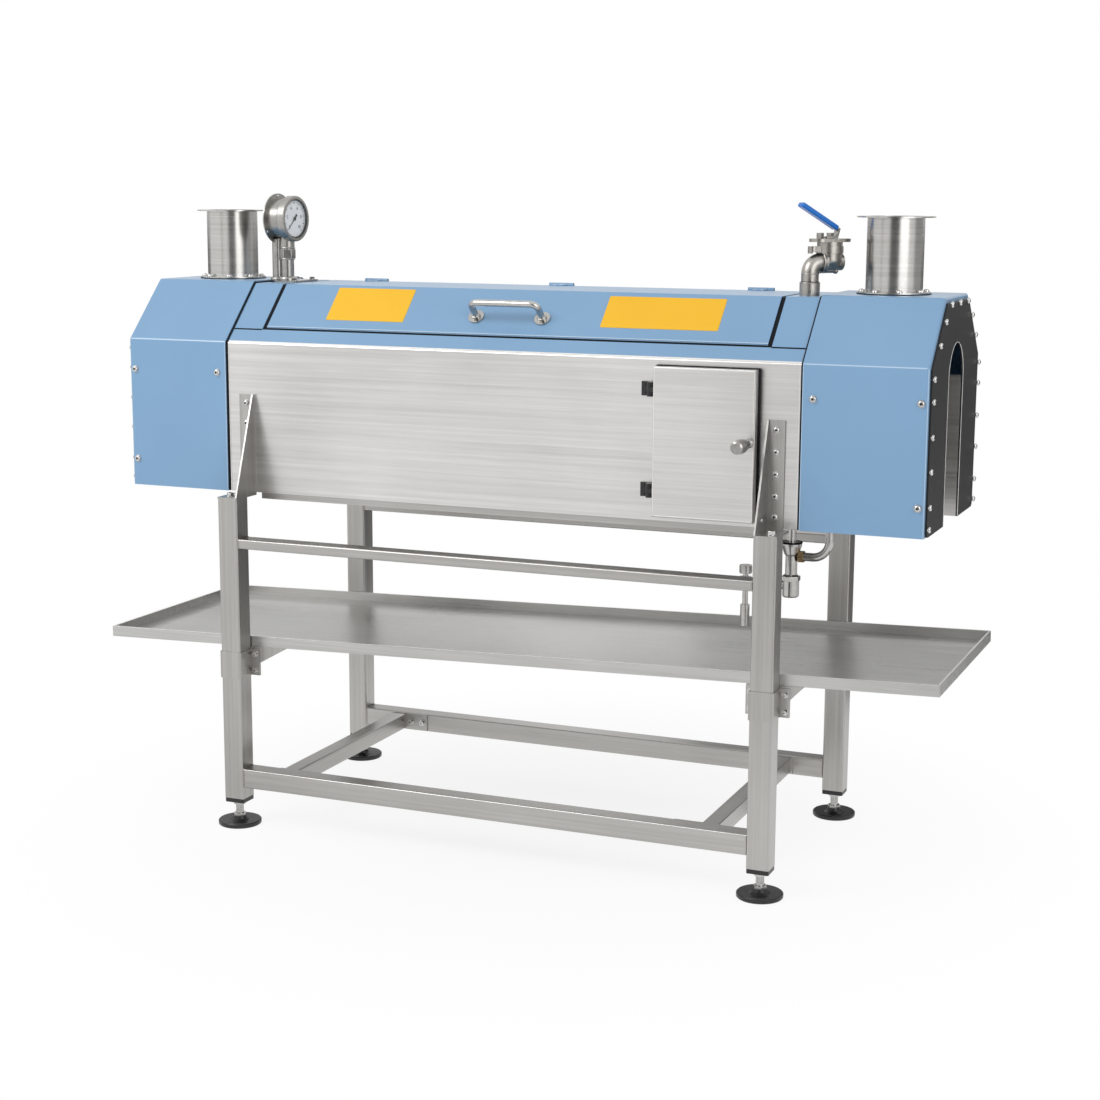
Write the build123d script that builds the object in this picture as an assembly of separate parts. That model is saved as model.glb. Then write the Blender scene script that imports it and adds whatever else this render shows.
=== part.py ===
from build123d import *
import os
from math import atan, atan2, cos, degrees, pi, radians, sin, tan

# Steam shrink tunnel on a four-legged stand with a sloped drip tray.
# X runs along the tunnel, Y from the operator's side to the back, Z up from the floor.
# The origin is on the floor under the middle of the machine. All sizes are in millimetres.

# Stand
leg_side = 50.0
leg_wall = 2.5
leg_corner = 4.0
rail_corner = 3.0
leg_pitch_x = 1268.0
leg_pitch_y = 614.0
leg_bottom_z = 66.0
leg_top_z = 772.0
rail_depth = 46.0
lower_rail_height = 45.0
lower_rail_z = 94.0
upper_rail_height = 22.0
upper_rail_z = 659.0
cross_width = 38.0
cross_height = 38.0
cross_pitch_x = 1024.0
cross_plate_reach = 60.0
cross_plate_t = 4.0
cross_plate_lap = 5.0
cross_plate_rise = 2.0
cross_drop = 3.0

# Levelling feet
cap_height = 10.0
cap_margin = 0.5
pad_radius = 50.0
pad_edge_height = 11.0
pad_hub_radius = 17.0
pad_height = 20.0
pad_edge = 2.0
pad_nut_height = 6.0
spindle_radius = 9.0
nut_radius = 15.0
nut_height = 8.0

# Housing section
housing_bottom_z = 778.0
side_y = 243.0
shoulder_z = 1120.0
roof_z = 1250.0
roof_half_y = 112.0
skin_t = 2.0
fold_radius = 4.0
least_fold = 1.0
panel_half_x = 690.0
panel_lip = 5.0
hood_half_x = 940.0
hood_joint_x = 681.0
hood_offset = 5.0
hood_t = 3.0
hood_bend = 5.0
end_plate_t = 4.0
end_plate_inset = 6.0
end_plate_corner = 14.0
hood_return = 20.0
bulkhead_t = 3.0

# Product slot and its liner
slot_half_y = 75.0
slot_top_z = 1158.0
liner_t = 2.0
floor_t = 2.0
channel_half_x = 600.0
channel_depth = 15.0
channel_width = 40.0
channel_inset = 8.0

# Lid in the roof
lid_half_x = 594.0
lid_gap = 10.0
lid_front_rise = 30.0
lid_t = 2.5
seal_t = 4.0
seal_width = 26.0
seal_clearance = 0.3
frame_rim = 12.0
hinge_gap = 16.0
hinge_leaf_width = 30.0
hinge_leaf_t = 2.0
lid_axis_y = 120.0
lid_axis_z = 1251.0
lid_hinge_pitch = 480.0
lid_hinge_length = 60.0
hinge_barrel = 5.0
hinge_pin = 2.5
pin_clearance = 0.05
knuckle_gap = 0.5
handle_pitch = 158.0
handle_tube = 7.5
handle_reach = 48.0
handle_bend = 16.0
handle_x = -4.0
handle_share = 0.54
rosette_radius = 18.0
rosette_t = 4.0

# Access door in the front panel
door_left_x = 367.0
door_right_x = 590.0
door_foot = 12.0
door_head = 13.0
door_depth = 30.0
door_seat = 0.5
door_sheet = 2.5
door_fold = 2.0
door_frame_inset = 20.0
door_hinge_height = 30.0
door_hinge_inset_low = 54.0
door_hinge_inset_high = 49.0
door_barrel = 7.0
door_pin = 3.0
door_axis_x = 357.0
door_axis_step = 3.0
door_leaf_width = 24.0
door_leaf_t = 5.0
knob_drop = 150.0
knob_inset = 12.0
knob_reach = 88.0
knob_neck = 30.0
knob_collar_t = 6.0
knob_collar_radius = 11.0
knob_front_radius = 12.0
knob_round = 2.5
knob_neck_radius = 6.0
knob_seat_radius = 10.0
knob_seat_t = 4.0
door_arm_half = 4.0
knob_radius = 15.5

# Exhaust stacks
stack_x = 806.0
stack_radius = 60.0
stack_wall = 2.5
stack_height = 162.0
stack_foot_radius = 77.0
stack_head_radius = 82.0
foot_flange_t = 5.0
head_flange_t = 3.0
flange_hole = 3.5
head_pcd = 146.0
flange_bolts = 8

# Pressure gauge on its stand
gauge_x = -634.0
gauge_y = -38.0
gauge_z = 1398.0
gauge_turn = 6.0
gauge_radius = 46.0
bezel_radius = 53.0
gauge_flange_radius = 58.0
gauge_depth = 54.0
bezel_depth = 20.0
bezel_round = 3.0
dial_depth = 7.0
dial_radius = 45.0
gauge_flange_t = 3.0
stem_radius = 15.0
prop_radius = 13.0
prop_step = 26.0
prop_top_z = 1350.0
stem_socket_drop = 72.0
stem_socket_wall = 2.0
gauge_plate_front = 18.0
gauge_plate_corner = 6.0
gauge_plate_half_x = 30.0
gauge_plate_length = 112.0
gauge_plate_t = 4.0

# Steam inlet and ball valve
inlet_x = 638.0
inlet_y = -55.0
pipe_radius = 18.5
pipe_wall = 3.0
coupling_radius = 21.5
coupling_height = 28.0
elbow_radius = 23.0
inlet_rise = 47.0
union_length = 10.0
union_radius = 23.0
valve_end_radius = 18.0
valve_flange_z = 1338.0
valve_flange_t = 15.0
plate_z = 1362.0
plate_length = 94.0
plate_width = 44.0
plate_t = 7.0
lever_lift = 0.5
lever_hub = 13.0
lever_bend = 14.0
lever_heel = 20.0
lever_heel_rise = 20.0
lever_length = 104.0
grip_t = 10.5
grip_width = 24.0
grip_clear = 6.0
grip_flat = 1.0
stop_bolt = 8.0
stop_bolt_x = -24.0
stop_bolt_height = 12.0
flow_angle = 45.0
valve_ball_radius = 26.0
valve_in = 13.0
valve_out = 28.0
bowl_drop = 8.0
bowl_round = 12.0
stem_rod = 6.0
valve_flange_radius = 29.0
gland_step = 2.0
lug_reach = 41.0
lug_radius = 10.5
stem_nut = 8.0
stem_nut_height = 7.0
lever_width = 18.0
lever_t = 4.0
lever_rise_angle = 30.0

# Drip tray between the legs
tray_length = 1984.0
tray_half_y = 280.0
tray_rim = 24.0
tray_sheet = 2.5
tray_centre_z = 461.5
tray_slope = 1.5

# Tray brackets clamped round the legs
clamp_height = 62.0
clamp_t = 2.5
clamp_ear = 20.0
clamp_plate_t = 4.0
clamp_drop = 4.0
clamp_shelf = 30.0
clamp_web = 71.0
clamp_web_height = 38.0
clamp_web_share = 0.42

# Brackets that carry the housing on the legs
gusset_t = 4.0
gusset_flange = 38.0
gusset_top_z = 1004.0

# Condensate drain
drain_x = 640.0
drain_y = -150.0
drain_pipe = 9.5
drain_bell = 22.0
drain_body = 16.0
drain_tube = 9.0
tube_bend = 36.0
drain_neck = 41.0
bell_height = 8.0
bell_taper = 18.0
body_taper = 4.0
waist_height = 40.0
waist_step = 3.0
pot_step = 2.0
sump_height = 42.0
sump_chamfer = 3.0
branch_drop = 95.0
port_drop = 31.0
drain_branch = 100.0
bypass_reach = 82.0
bypass_nut_wall = 4.0
bypass_nut_length = 12.0
valve_core = 13.0
valve_neck = 6.0
valve_pot = 10.0
pot_drop = 95.0
pot_height = 46.0
core_down = 14.0
core_up = 12.0
hand_knob_rise = 19.0
hand_knob_height = 18.0

# Worked-out places
leg_x = leg_pitch_x / 2
leg_y = leg_pitch_y / 2
half_leg = leg_side / 2
slope_angle = atan((roof_z - shoulder_z) / (side_y - roof_half_y))
shoulder_step = tan((pi / 2 - slope_angle) / 2)
roof_step = tan(slope_angle / 2)
arch_radius = slot_half_y
arch_z = slot_top_z - arch_radius
window_x = lid_half_x + lid_gap
window_front_y = -side_y + lid_front_rise / tan(slope_angle)
window_back_y = lid_axis_y + hinge_gap / 2
door_front_y = -side_y - door_depth
door_bottom_z = housing_bottom_z + door_foot
door_top_z = shoulder_z - door_head
door_hinge_z_low = door_bottom_z + door_hinge_inset_low
door_hinge_z_high = door_top_z - door_hinge_inset_high
knob_z = door_top_z - knob_drop
door_axis_y = -side_y - door_depth / 2 - door_axis_step
flow_z = roof_z + inlet_rise + elbow_radius
inlet_bore = pipe_radius - pipe_wall
valve_step = elbow_radius + union_length + valve_in
stem_x = inlet_x + valve_step * cos(radians(flow_angle))
stem_y = inlet_y + valve_step * sin(radians(flow_angle))
corners = [(-1, -1), (1, -1), (1, 1), (-1, 1)]
drain_bell_z = housing_bottom_z - drain_neck
branch_z = drain_bell_z - branch_drop
port_z = drain_bell_z - port_drop
pot_z = branch_z - pot_drop
knob_low_z = branch_z + hand_knob_rise

os.makedirs("parts", exist_ok=True)


def save(name, shape):
    export_step(shape, f"parts/{name}.step")


def block(x0, x1, y0, y1, z0, z1):
    centre = Pos((x0 + x1) / 2, (y0 + y1) / 2, (z0 + z1) / 2)
    return centre * Box(x1 - x0, y1 - y0, z1 - z0)


def prism_x(points, x0, x1):
    # A closed outline of (y, z) points drawn out along the tunnel.
    face = make_face(Polyline(*points, close=True))
    return extrude(Plane.YZ.offset(x0) * face, amount=x1 - x0)


def prism_y(points, y0, y1):
    # A closed outline of (x, z) points drawn out across the machine.
    plane = Plane(origin=(0, y1, 0), x_dir=(1, 0, 0), z_dir=(0, -1, 0))
    face = make_face(Polyline(*points, close=True))
    return extrude(plane * face, amount=y1 - y0)


def rod(start, end, radius):
    # A plain round bar from one point to another.
    along = Vector(*end) - Vector(*start)
    plane = Plane(origin=start, z_dir=along)
    bottom = (Align.CENTER, Align.CENTER, Align.MIN)
    return plane * Cylinder(radius, along.length, align=bottom)


def tube(start, end, radius, inner):
    return rod(start, end, radius) - rod(start, end, inner)


def solids_of(*shapes):
    # Separate solids of one node, kept apart.
    return Compound(children=[solid for shape in shapes for solid in shape.solids()])


def section(offset, bottom_z):
    # The housing's outline as (y, z) points, offset outwards from the side panels.
    shoulder = (side_y + offset, shoulder_z + offset * shoulder_step)
    edge = (roof_half_y + offset * roof_step, roof_z + offset)
    right = [(side_y + offset, bottom_z), shoulder, edge]
    left = [(-y, z) for y, z in reversed(right)]
    return right + left


def profile(offset, bottom_z, x0, x1):
    # A solid bar of the housing's outline with its folds rounded.
    face = make_face(Polyline(*section(offset, bottom_z), close=True))
    folds = [corner for corner in face.vertices() if corner.Y > bottom_z + 1]
    face = fillet(folds, max(fold_radius + offset, least_fold))
    return extrude(Plane.YZ.offset(x0) * face, amount=x1 - x0)


def shell(outer, inner, x0, x1, bottom_z):
    return profile(outer, bottom_z, x0, x1) - profile(inner, bottom_z - 1, x0 - 1, x1 + 1)


def slope_point(offset, share):
    # A point of the front slope: share 0 is the shoulder, 1 the roof's edge.
    y0, z0 = -(side_y + offset), shoulder_z + offset * shoulder_step
    y1, z1 = -(roof_half_y + offset * roof_step), roof_z + offset
    return (y0 + (y1 - y0) * share, z0 + (z1 - z0) * share)


def slot_cut(x0, x1, half_y, top_z):
    # The product slot: straight sides under a round arch.
    low = block(x0, x1, -half_y, half_y, 0, top_z - half_y)
    return low + rod((x0, 0, top_z - half_y), (x1, 0, top_z - half_y), half_y)


def side_sheet(side):
    # A stainless side sheet, bent over the shoulder to a narrow lip under the roof's edge.
    y0, y1 = sorted((0, side * side_y))
    whole = shell(0, -skin_t, -panel_half_x, panel_half_x, housing_bottom_z)
    return whole & block(-panel_half_x, panel_half_x, y0, y1, housing_bottom_z, shoulder_z + panel_lip)


def front_panel():
    # The operator's side sheet, with the access door's opening cut through it.
    plate = side_sheet(-1)
    hole = block(door_left_x + door_frame_inset, door_right_x - door_frame_inset,
                 -side_y - 1, -side_y + skin_t + 1,
                 door_bottom_z + door_frame_inset, door_top_z - door_frame_inset)
    save("front_panel", plate - hole)


def rear_panel():
    save("rear_panel", side_sheet(1))


def roof_shell(x0, x1):
    # The roof above the side sheets' lips, over one stretch of the tunnel.
    low = shoulder_z + panel_lip
    return shell(0, -skin_t, x0, x1, housing_bottom_z) & block(x0, x1, -side_y, side_y, low, roof_z)


def roof():
    # One strip under the lid along the whole front, a band beside each end of the lid and the back.
    whole = roof_shell(-panel_half_x, panel_half_x)
    strip = whole & block(-panel_half_x, panel_half_x, -side_y, window_front_y, shoulder_z, roof_z)
    left_band = whole & block(-panel_half_x, -window_x, window_front_y, side_y, shoulder_z, roof_z)
    right_band = whole & block(window_x, panel_half_x, window_front_y, side_y, shoulder_z, roof_z)
    back = whole & block(-window_x, window_x, window_back_y, side_y, shoulder_z, roof_z)
    save("left_roof_band", left_band)
    save("right_roof_band", right_band)
    save("roof_front_strip", strip)
    save("rear_roof_panel", back)


def window(margin, back_margin):
    # The roof's opening, drawn in by a margin, as a block through all heights.
    return block(-window_x + margin, window_x - margin, window_front_y + margin * cos(slope_angle),
                 window_back_y - back_margin, housing_bottom_z, 2 * roof_z - housing_bottom_z)


def lid_frame():
    # The Z-shaped steel frame round the opening and the black seal that lies on its ledge.
    lid_under = -lid_t - seal_clearance
    seal_under = lid_under - seal_t
    ledge_under = seal_under - skin_t
    seal = shell(lid_under, seal_under, -window_x, window_x, housing_bottom_z)
    ledge = shell(seal_under, ledge_under, -window_x, window_x, housing_bottom_z)
    rim = shell(-skin_t, ledge_under, -window_x - frame_rim, window_x + frame_rim, housing_bottom_z)
    save("lid_seal", (seal & window(0, 0)) - window(seal_width, seal_width))
    upstand = (rim & window(-frame_rim, -frame_rim)) - window(0, 0)
    save("lid_frame", upstand + ((ledge & window(0, 0)) - window(seal_width, seal_width)))


def lid():
    body = shell(0, -lid_t, -lid_half_x, lid_half_x, housing_bottom_z)
    save("lid", body & window(lid_gap, hinge_gap))


def on_lid_axis(x0, x1, radius):
    return rod((x0, lid_axis_y, lid_axis_z), (x1, lid_axis_y, lid_axis_z), radius)


def lid_hinges():
    # Butt hinges: outer knuckles, pin and one leaf on the rear panel, middle knuckle and leaf on the lid.
    fixed, moving = [], []
    slope = Pos(0, lid_axis_y, lid_axis_z) * Rot(X=-degrees(slope_angle))
    skin = -(lid_axis_y - roof_half_y) * sin(slope_angle) - (lid_axis_z - roof_z) * cos(slope_angle)
    for place in (-1, 0, 1):
        x0 = place * lid_hinge_pitch - lid_hinge_length / 2
        x1 = x0 + lid_hinge_length
        inner0, inner1 = x0 + lid_hinge_length / 4, x1 - lid_hinge_length / 4
        leaf = slope * block(x0, x1, 0, hinge_leaf_width, skin, skin + hinge_leaf_t)
        space = block(inner0 - knuckle_gap, inner1 + knuckle_gap, lid_axis_y - hinge_barrel,
                      lid_axis_y + hinge_barrel + 1, roof_z - 2 * hinge_barrel, roof_z + 2 * hinge_barrel)
        fixed.append(((on_lid_axis(x0, x1, hinge_barrel) + leaf) - space) + on_lid_axis(x0, x1, hinge_pin))
        flap = block(inner0, inner1, lid_axis_y - hinge_leaf_width, lid_axis_y, roof_z, roof_z + hinge_leaf_t)
        bore = on_lid_axis(inner0 - 1, inner1 + 1, hinge_pin + pin_clearance)
        moving.append((on_lid_axis(inner0, inner1, hinge_barrel) + flap) - bore)
    save("lid_hinges", solids_of(*fixed))
    save("lid_hinge_leaves", solids_of(*moving))


def lid_handle():
    # Bow handle on two round rosettes, square to the front slope.
    y0, z0 = slope_point(0, handle_share)
    plane = Plane(origin=(handle_x, y0, z0), x_dir=(1, 0, 0), z_dir=(0, -sin(slope_angle), cos(slope_angle)))
    half = handle_pitch / 2
    path = FilletPolyline((-half, 0, rosette_t), (-half, 0, handle_reach), (half, 0, handle_reach),
                          (half, 0, rosette_t), radius=handle_bend)
    bow = sweep(Plane(origin=path @ 0, z_dir=path % 0) * Circle(handle_tube), path)
    discs = [Pos(side * half, 0, rosette_t / 2) * Cylinder(rosette_radius, rosette_t) for side in (-1, 1)]
    save("lid_handle", plane * (bow + discs[0] + discs[1]))


def access_door():
    # A folded tray-shaped door that closes against the panel.
    front = door_front_y
    outside = block(door_left_x, door_right_x, front, -side_y - door_seat, door_bottom_z, door_top_z)
    outside = fillet(outside.faces().sort_by(Axis.Y)[0].edges(), door_fold)
    inside = block(door_left_x + door_sheet, door_right_x - door_sheet, front + door_sheet, -side_y,
                   door_bottom_z + door_sheet, door_top_z - door_sheet)
    save("access_door", outside - inside)


def on_door_axis(z0, z1, radius):
    return rod((door_axis_x, door_axis_y, z0), (door_axis_x, door_axis_y, z1), radius)


def door_hinges():
    # Black block hinges: outer knuckles, pin and plate on the panel, an arm on the door's edge.
    fixed, moving = [], []
    x, y = door_axis_x, door_axis_y
    for middle in (door_hinge_z_low, door_hinge_z_high):
        z0, z1 = middle - door_hinge_height / 2, middle + door_hinge_height / 2
        low, high = z0 + door_hinge_height / 3, z1 - door_hinge_height / 3
        plate = block(x - door_leaf_width, x, -side_y - door_leaf_t, -side_y, z0, z1)
        web = block(x - door_barrel, x, y, -side_y, z0, z1)
        space = block(x - door_barrel - 1, x + door_barrel + 1, y - door_barrel - 1, -side_y - door_leaf_t,
                      low - knuckle_gap, high + knuckle_gap)
        knuckles = (on_door_axis(z0, z1, door_barrel) + plate + web) - space
        fixed.append(knuckles + on_door_axis(z0, z1, door_pin))
        arm = block(x, door_left_x, y - door_barrel, y + door_arm_half, low, high)
        bore = on_door_axis(z0, z1, door_pin + pin_clearance)
        moving.append((on_door_axis(low, high, door_barrel) + arm) - bore)
    save("door_hinges", solids_of(*fixed))
    save("door_hinge_arms", solids_of(*moving))


def door_knob():
    # A turned knob: round seat, slim neck, collar and a barrel that narrows to its front.
    grip_start = knob_neck + knob_collar_t
    widest = (grip_start + knob_reach) / 2
    points = [(0, 0), (knob_seat_radius, 0), (knob_seat_radius, knob_seat_t),
              (knob_neck_radius, 2 * knob_seat_t), (knob_neck_radius, knob_neck - knob_round),
              (knob_collar_radius - knob_round, knob_neck), (knob_collar_radius, knob_neck + knob_round),
              (knob_neck_radius + knob_round, grip_start),
              (knob_radius - knob_round, grip_start + knob_round), (knob_radius, widest),
              (knob_front_radius + knob_round / 2, knob_reach - knob_round),
              (knob_front_radius - knob_round, knob_reach), (0, knob_reach)]
    turned = revolve(Plane.XZ * make_face(Polyline(*points, close=True)), Axis.Z)
    save("door_knob", Pos(door_right_x - knob_inset, door_front_y, knob_z) * Rot(X=90) * turned)


def hoods():
    # Painted end hoods: folded sheet with a rounded end edge and a narrow end return.
    outer = profile(hood_offset, housing_bottom_z, hood_joint_x, hood_half_x)
    end = outer.faces().sort_by(Axis.X)[-1]
    edges = [edge for edge in end.edges() if edge.center().Z > housing_bottom_z + 1]
    body = fillet(edges, hood_bend)
    low, inside_x = housing_bottom_z - 1, hood_half_x - hood_t
    body -= profile(hood_offset - hood_t, low, hood_joint_x - 1, inside_x)
    body -= profile(-hood_return, low, inside_x - 1, hood_half_x + 1)
    body -= rod((stack_x, 0, roof_z), (stack_x, 0, roof_z + 2 * hood_offset), stack_radius - stack_wall)
    save("right_hood", body)
    save("left_hood", mirror(body, about=Plane.YZ))


def end_plates():
    # Dark end plates with the arched product slot.
    plate = profile(-end_plate_inset, housing_bottom_z, hood_half_x, hood_half_x + end_plate_t)
    low_corners = [edge for edge in plate.edges().filter_by(Axis.X) if edge.center().Z < housing_bottom_z + 1]
    plate = fillet(low_corners, end_plate_corner)
    plate -= slot_cut(hood_half_x - 1, hood_half_x + end_plate_t + 1, slot_half_y, slot_top_z)
    save("right_end_plate", plate)
    save("left_end_plate", mirror(plate, about=Plane.YZ))


def bulkheads():
    # Frames that carry the panels, the liner and the hoods.
    low = housing_bottom_z + floor_t
    plate = profile(hood_offset - hood_t, low, panel_half_x, panel_half_x + bulkhead_t)
    plate -= slot_cut(panel_half_x - 1, panel_half_x + bulkhead_t + 1, slot_half_y + liner_t,
                      slot_top_z + liner_t)
    save("bulkheads", solids_of(plate, mirror(plate, about=Plane.YZ)))


def liner():
    # The tunnel's inner walls and the arch over the middle section.
    for name, side in (("front_liner", -1), ("rear_liner", 1)):
        y0, y1 = sorted((side * slot_half_y, side * (slot_half_y + liner_t)))
        save(name, block(-hood_half_x, hood_half_x, y0, y1, housing_bottom_z, arch_z))
    arch = tube((-panel_half_x, 0, arch_z), (panel_half_x, 0, arch_z), slot_half_y + liner_t, slot_half_y)
    upper = block(-panel_half_x, panel_half_x, -side_y, side_y, arch_z, roof_z)
    save("liner_arch", arch & upper)


def floors():
    inner, outer = slot_half_y + liner_t, side_y - skin_t
    end_x = hood_half_x - hood_t
    top_z = housing_bottom_z + floor_t
    strips = [block(-end_x, end_x, *sorted((side * inner, side * outer)), housing_bottom_z, top_z)
              for side in (-1, 1)]
    save("cavity_floors", solids_of(*strips))
    channels = []
    for side in (-1, 1):
        y0, y1 = sorted((side * (side_y - channel_inset), side * (side_y - channel_inset - channel_width)))
        low = housing_bottom_z - channel_depth
        bar = block(-channel_half_x, channel_half_x, y0, y1, low, housing_bottom_z)
        hollow = block(-channel_half_x - 1, channel_half_x + 1, y0 + skin_t, y1 - skin_t, low - 1,
                       housing_bottom_z - skin_t)
        channels.append(bar - hollow)
    save("bottom_channels", solids_of(*channels))


def gussets():
    # Bent plates: a flange on the side panel, a foot on the leg and a three-cornered web.
    inner_x = leg_x - half_leg
    back_y = side_y + gusset_t
    front_y = leg_y + half_leg
    flange = block(inner_x, inner_x + gusset_flange, side_y, back_y, leg_top_z, gusset_top_z)
    foot = block(inner_x, leg_x + half_leg, side_y, front_y, leg_top_z, leg_top_z + gusset_t)
    web_points = [(side_y, gusset_top_z), (back_y + gusset_t, gusset_top_z), (front_y, leg_top_z + gusset_t),
                  (front_y, leg_top_z), (side_y, leg_top_z)]
    web = prism_x(web_points, inner_x, inner_x + gusset_t)
    bracket = flange + foot + web
    back = [bracket, mirror(bracket, about=Plane.YZ)]
    save("gusset_brackets", solids_of(*back, *[mirror(item, about=Plane.XZ) for item in back]))


def stacks():
    # Exhaust stacks: a tube between a foot flange on the hood and a drilled head flange.
    for name, side in (("left_stack", -1), ("right_stack", 1)):
        x = side * stack_x
        low = roof_z + hood_offset
        high = low + stack_height
        body = rod((x, 0, low), (x, 0, high), stack_radius)
        body += rod((x, 0, low), (x, 0, low + foot_flange_t), stack_foot_radius)
        body += rod((x, 0, high - head_flange_t), (x, 0, high), stack_head_radius)
        body -= rod((x, 0, low - 1), (x, 0, high + 1), stack_radius - stack_wall)
        for turn in range(flange_bolts):
            angle = 2 * pi * turn / flange_bolts
            hx, hy = x + head_pcd / 2 * cos(angle), head_pcd / 2 * sin(angle)
            body -= rod((hx, hy, high - head_flange_t - 1), (hx, hy, high + 1), flange_hole)
        save(name, body)


def gauge():
    # A round gauge with a wide bezel and a back flange, on a stem and a prop tube.
    nx, ny = cos(radians(gauge_turn)), -sin(radians(gauge_turn))

    def along(distance):
        return (gauge_x + nx * distance, gauge_y + ny * distance, gauge_z)

    half = gauge_depth / 2
    body = rod(along(-half), along(half - bezel_depth), gauge_radius)
    body += rod(along(-half), along(-half + gauge_flange_t), gauge_flange_radius)
    bezel = rod(along(half - bezel_depth), along(half), bezel_radius)
    bezel = fillet(bezel.edges().filter_by(GeomType.CIRCLE), bezel_round)
    body = (body + bezel) - rod(along(half - dial_depth), along(half + 1), dial_radius)
    save("pressure_gauge", body)
    top = roof_z + gauge_plate_t
    plate = block(gauge_x - gauge_plate_half_x, gauge_x + gauge_plate_half_x, gauge_y - gauge_plate_front,
                  gauge_y - gauge_plate_front + gauge_plate_length, roof_z, top)
    plate = fillet(plate.edges().filter_by(Axis.Z), gauge_plate_corner)
    stem = rod((gauge_x, gauge_y, top), (gauge_x, gauge_y, gauge_z), stem_radius)
    socket = rod((gauge_x, gauge_y, gauge_z - stem_socket_drop), (gauge_x, gauge_y, gauge_z),
                 stem_radius + stem_socket_wall)
    prop_x = gauge_x - prop_step
    prop = rod((prop_x, gauge_y, top), (prop_x, gauge_y, prop_top_z), prop_radius)
    save("gauge_stand", plate + ((stem + socket + prop) - body))


def steam_inlet():
    # Coupling and elbow that bring steam in through the roof.
    x, y, z = inlet_x, inlet_y, roof_z
    dx, dy = cos(radians(flow_angle)), sin(radians(flow_angle))
    bend_z = z + inlet_rise + elbow_radius
    face = elbow_radius + union_length
    route = [(x, y, z), (x, y, bend_z), (x + face * dx, y + face * dy, bend_z)]
    path = FilletPolyline(*route, radius=elbow_radius)
    start = Plane(origin=path @ 0, z_dir=path % 0)
    pipe = sweep(start * Circle(pipe_radius), path)
    coupling = rod((x, y, z), (x, y, z + coupling_height), coupling_radius)
    nut_start = (x + elbow_radius * dx, y + elbow_radius * dy, bend_z)
    nut_end = (x + face * dx, y + face * dy, bend_z)
    nut = rod(nut_start, nut_end, union_radius)
    bore = sweep(start * Circle(inlet_bore), path)
    save("steam_inlet", (pipe + coupling + nut) - bore)


def along_flow(distance, z):
    # A point at a distance from the valve's stem along the flow.
    angle = radians(flow_angle)
    return (stem_x + distance * cos(angle), stem_y + distance * sin(angle), z)


def steam_valve():
    # Ball valve body, gland and the oval top plate that carries the lever's stop bolt.
    upper_z = valve_flange_z + valve_flange_t
    body = rod(along_flow(-valve_in, flow_z), along_flow(valve_out, flow_z), valve_end_radius)
    bowl = rod((stem_x, stem_y, flow_z - bowl_drop), (stem_x, stem_y, valve_flange_z), valve_ball_radius)
    body += fillet(bowl.edges().filter_by(GeomType.CIRCLE).sort_by(Axis.Z)[0], bowl_round)
    body += rod((stem_x, stem_y, valve_flange_z), (stem_x, stem_y, upper_z), valve_flange_radius)
    lug = rod(along_flow(-lug_reach, valve_flange_z), along_flow(-lug_reach, upper_z), lug_radius)
    turned = Pos(stem_x, stem_y, valve_flange_z) * Rot(Z=flow_angle)
    body += lug + turned * block(-lug_reach, 0, -lug_radius, lug_radius, 0, valve_flange_t)
    body += rod((stem_x, stem_y, upper_z), (stem_x, stem_y, plate_z), valve_flange_radius - gland_step)
    turned = Pos(stem_x, stem_y, plate_z) * Rot(Z=flow_angle)
    body += turned * extrude(SlotOverall(plate_length, plate_width), amount=plate_t)
    body -= rod(along_flow(-valve_step, flow_z), along_flow(-valve_in, flow_z), union_radius)
    body -= rod(along_flow(-valve_in - 1, flow_z), along_flow(valve_out + 1, flow_z), inlet_bore)
    top = plate_z + plate_t
    washer_z = top + lever_lift + lever_t + lever_lift
    body += rod((stem_x, stem_y, plate_z), (stem_x, stem_y, washer_z + stem_nut_height), stem_rod)
    nut = Pos(stem_x, stem_y, washer_z) * extrude(RegularPolygon(stem_nut, 6), amount=stem_nut_height)
    bolt = Pos(*along_flow(stop_bolt_x, top)) * extrude(RegularPolygon(stop_bolt, 6), amount=stop_bolt_height)
    save("steam_valve", body + nut + bolt)


def strip_outline(points, thickness):
    # Side view of a bent strip: its lower line and the mitred line one thickness away.
    angles = [atan2(z1 - z0, x1 - x0) for (x0, z0), (x1, z1) in zip(points, points[1:])]
    upper = []
    for (x, z), before, after in zip(points, [angles[0]] + angles, angles + [angles[-1]]):
        middle = (before + after) / 2
        step = thickness / cos((after - before) / 2)
        upper.append((x - step * sin(middle), z + step * cos(middle)))
    return points + upper[::-1]


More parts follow.
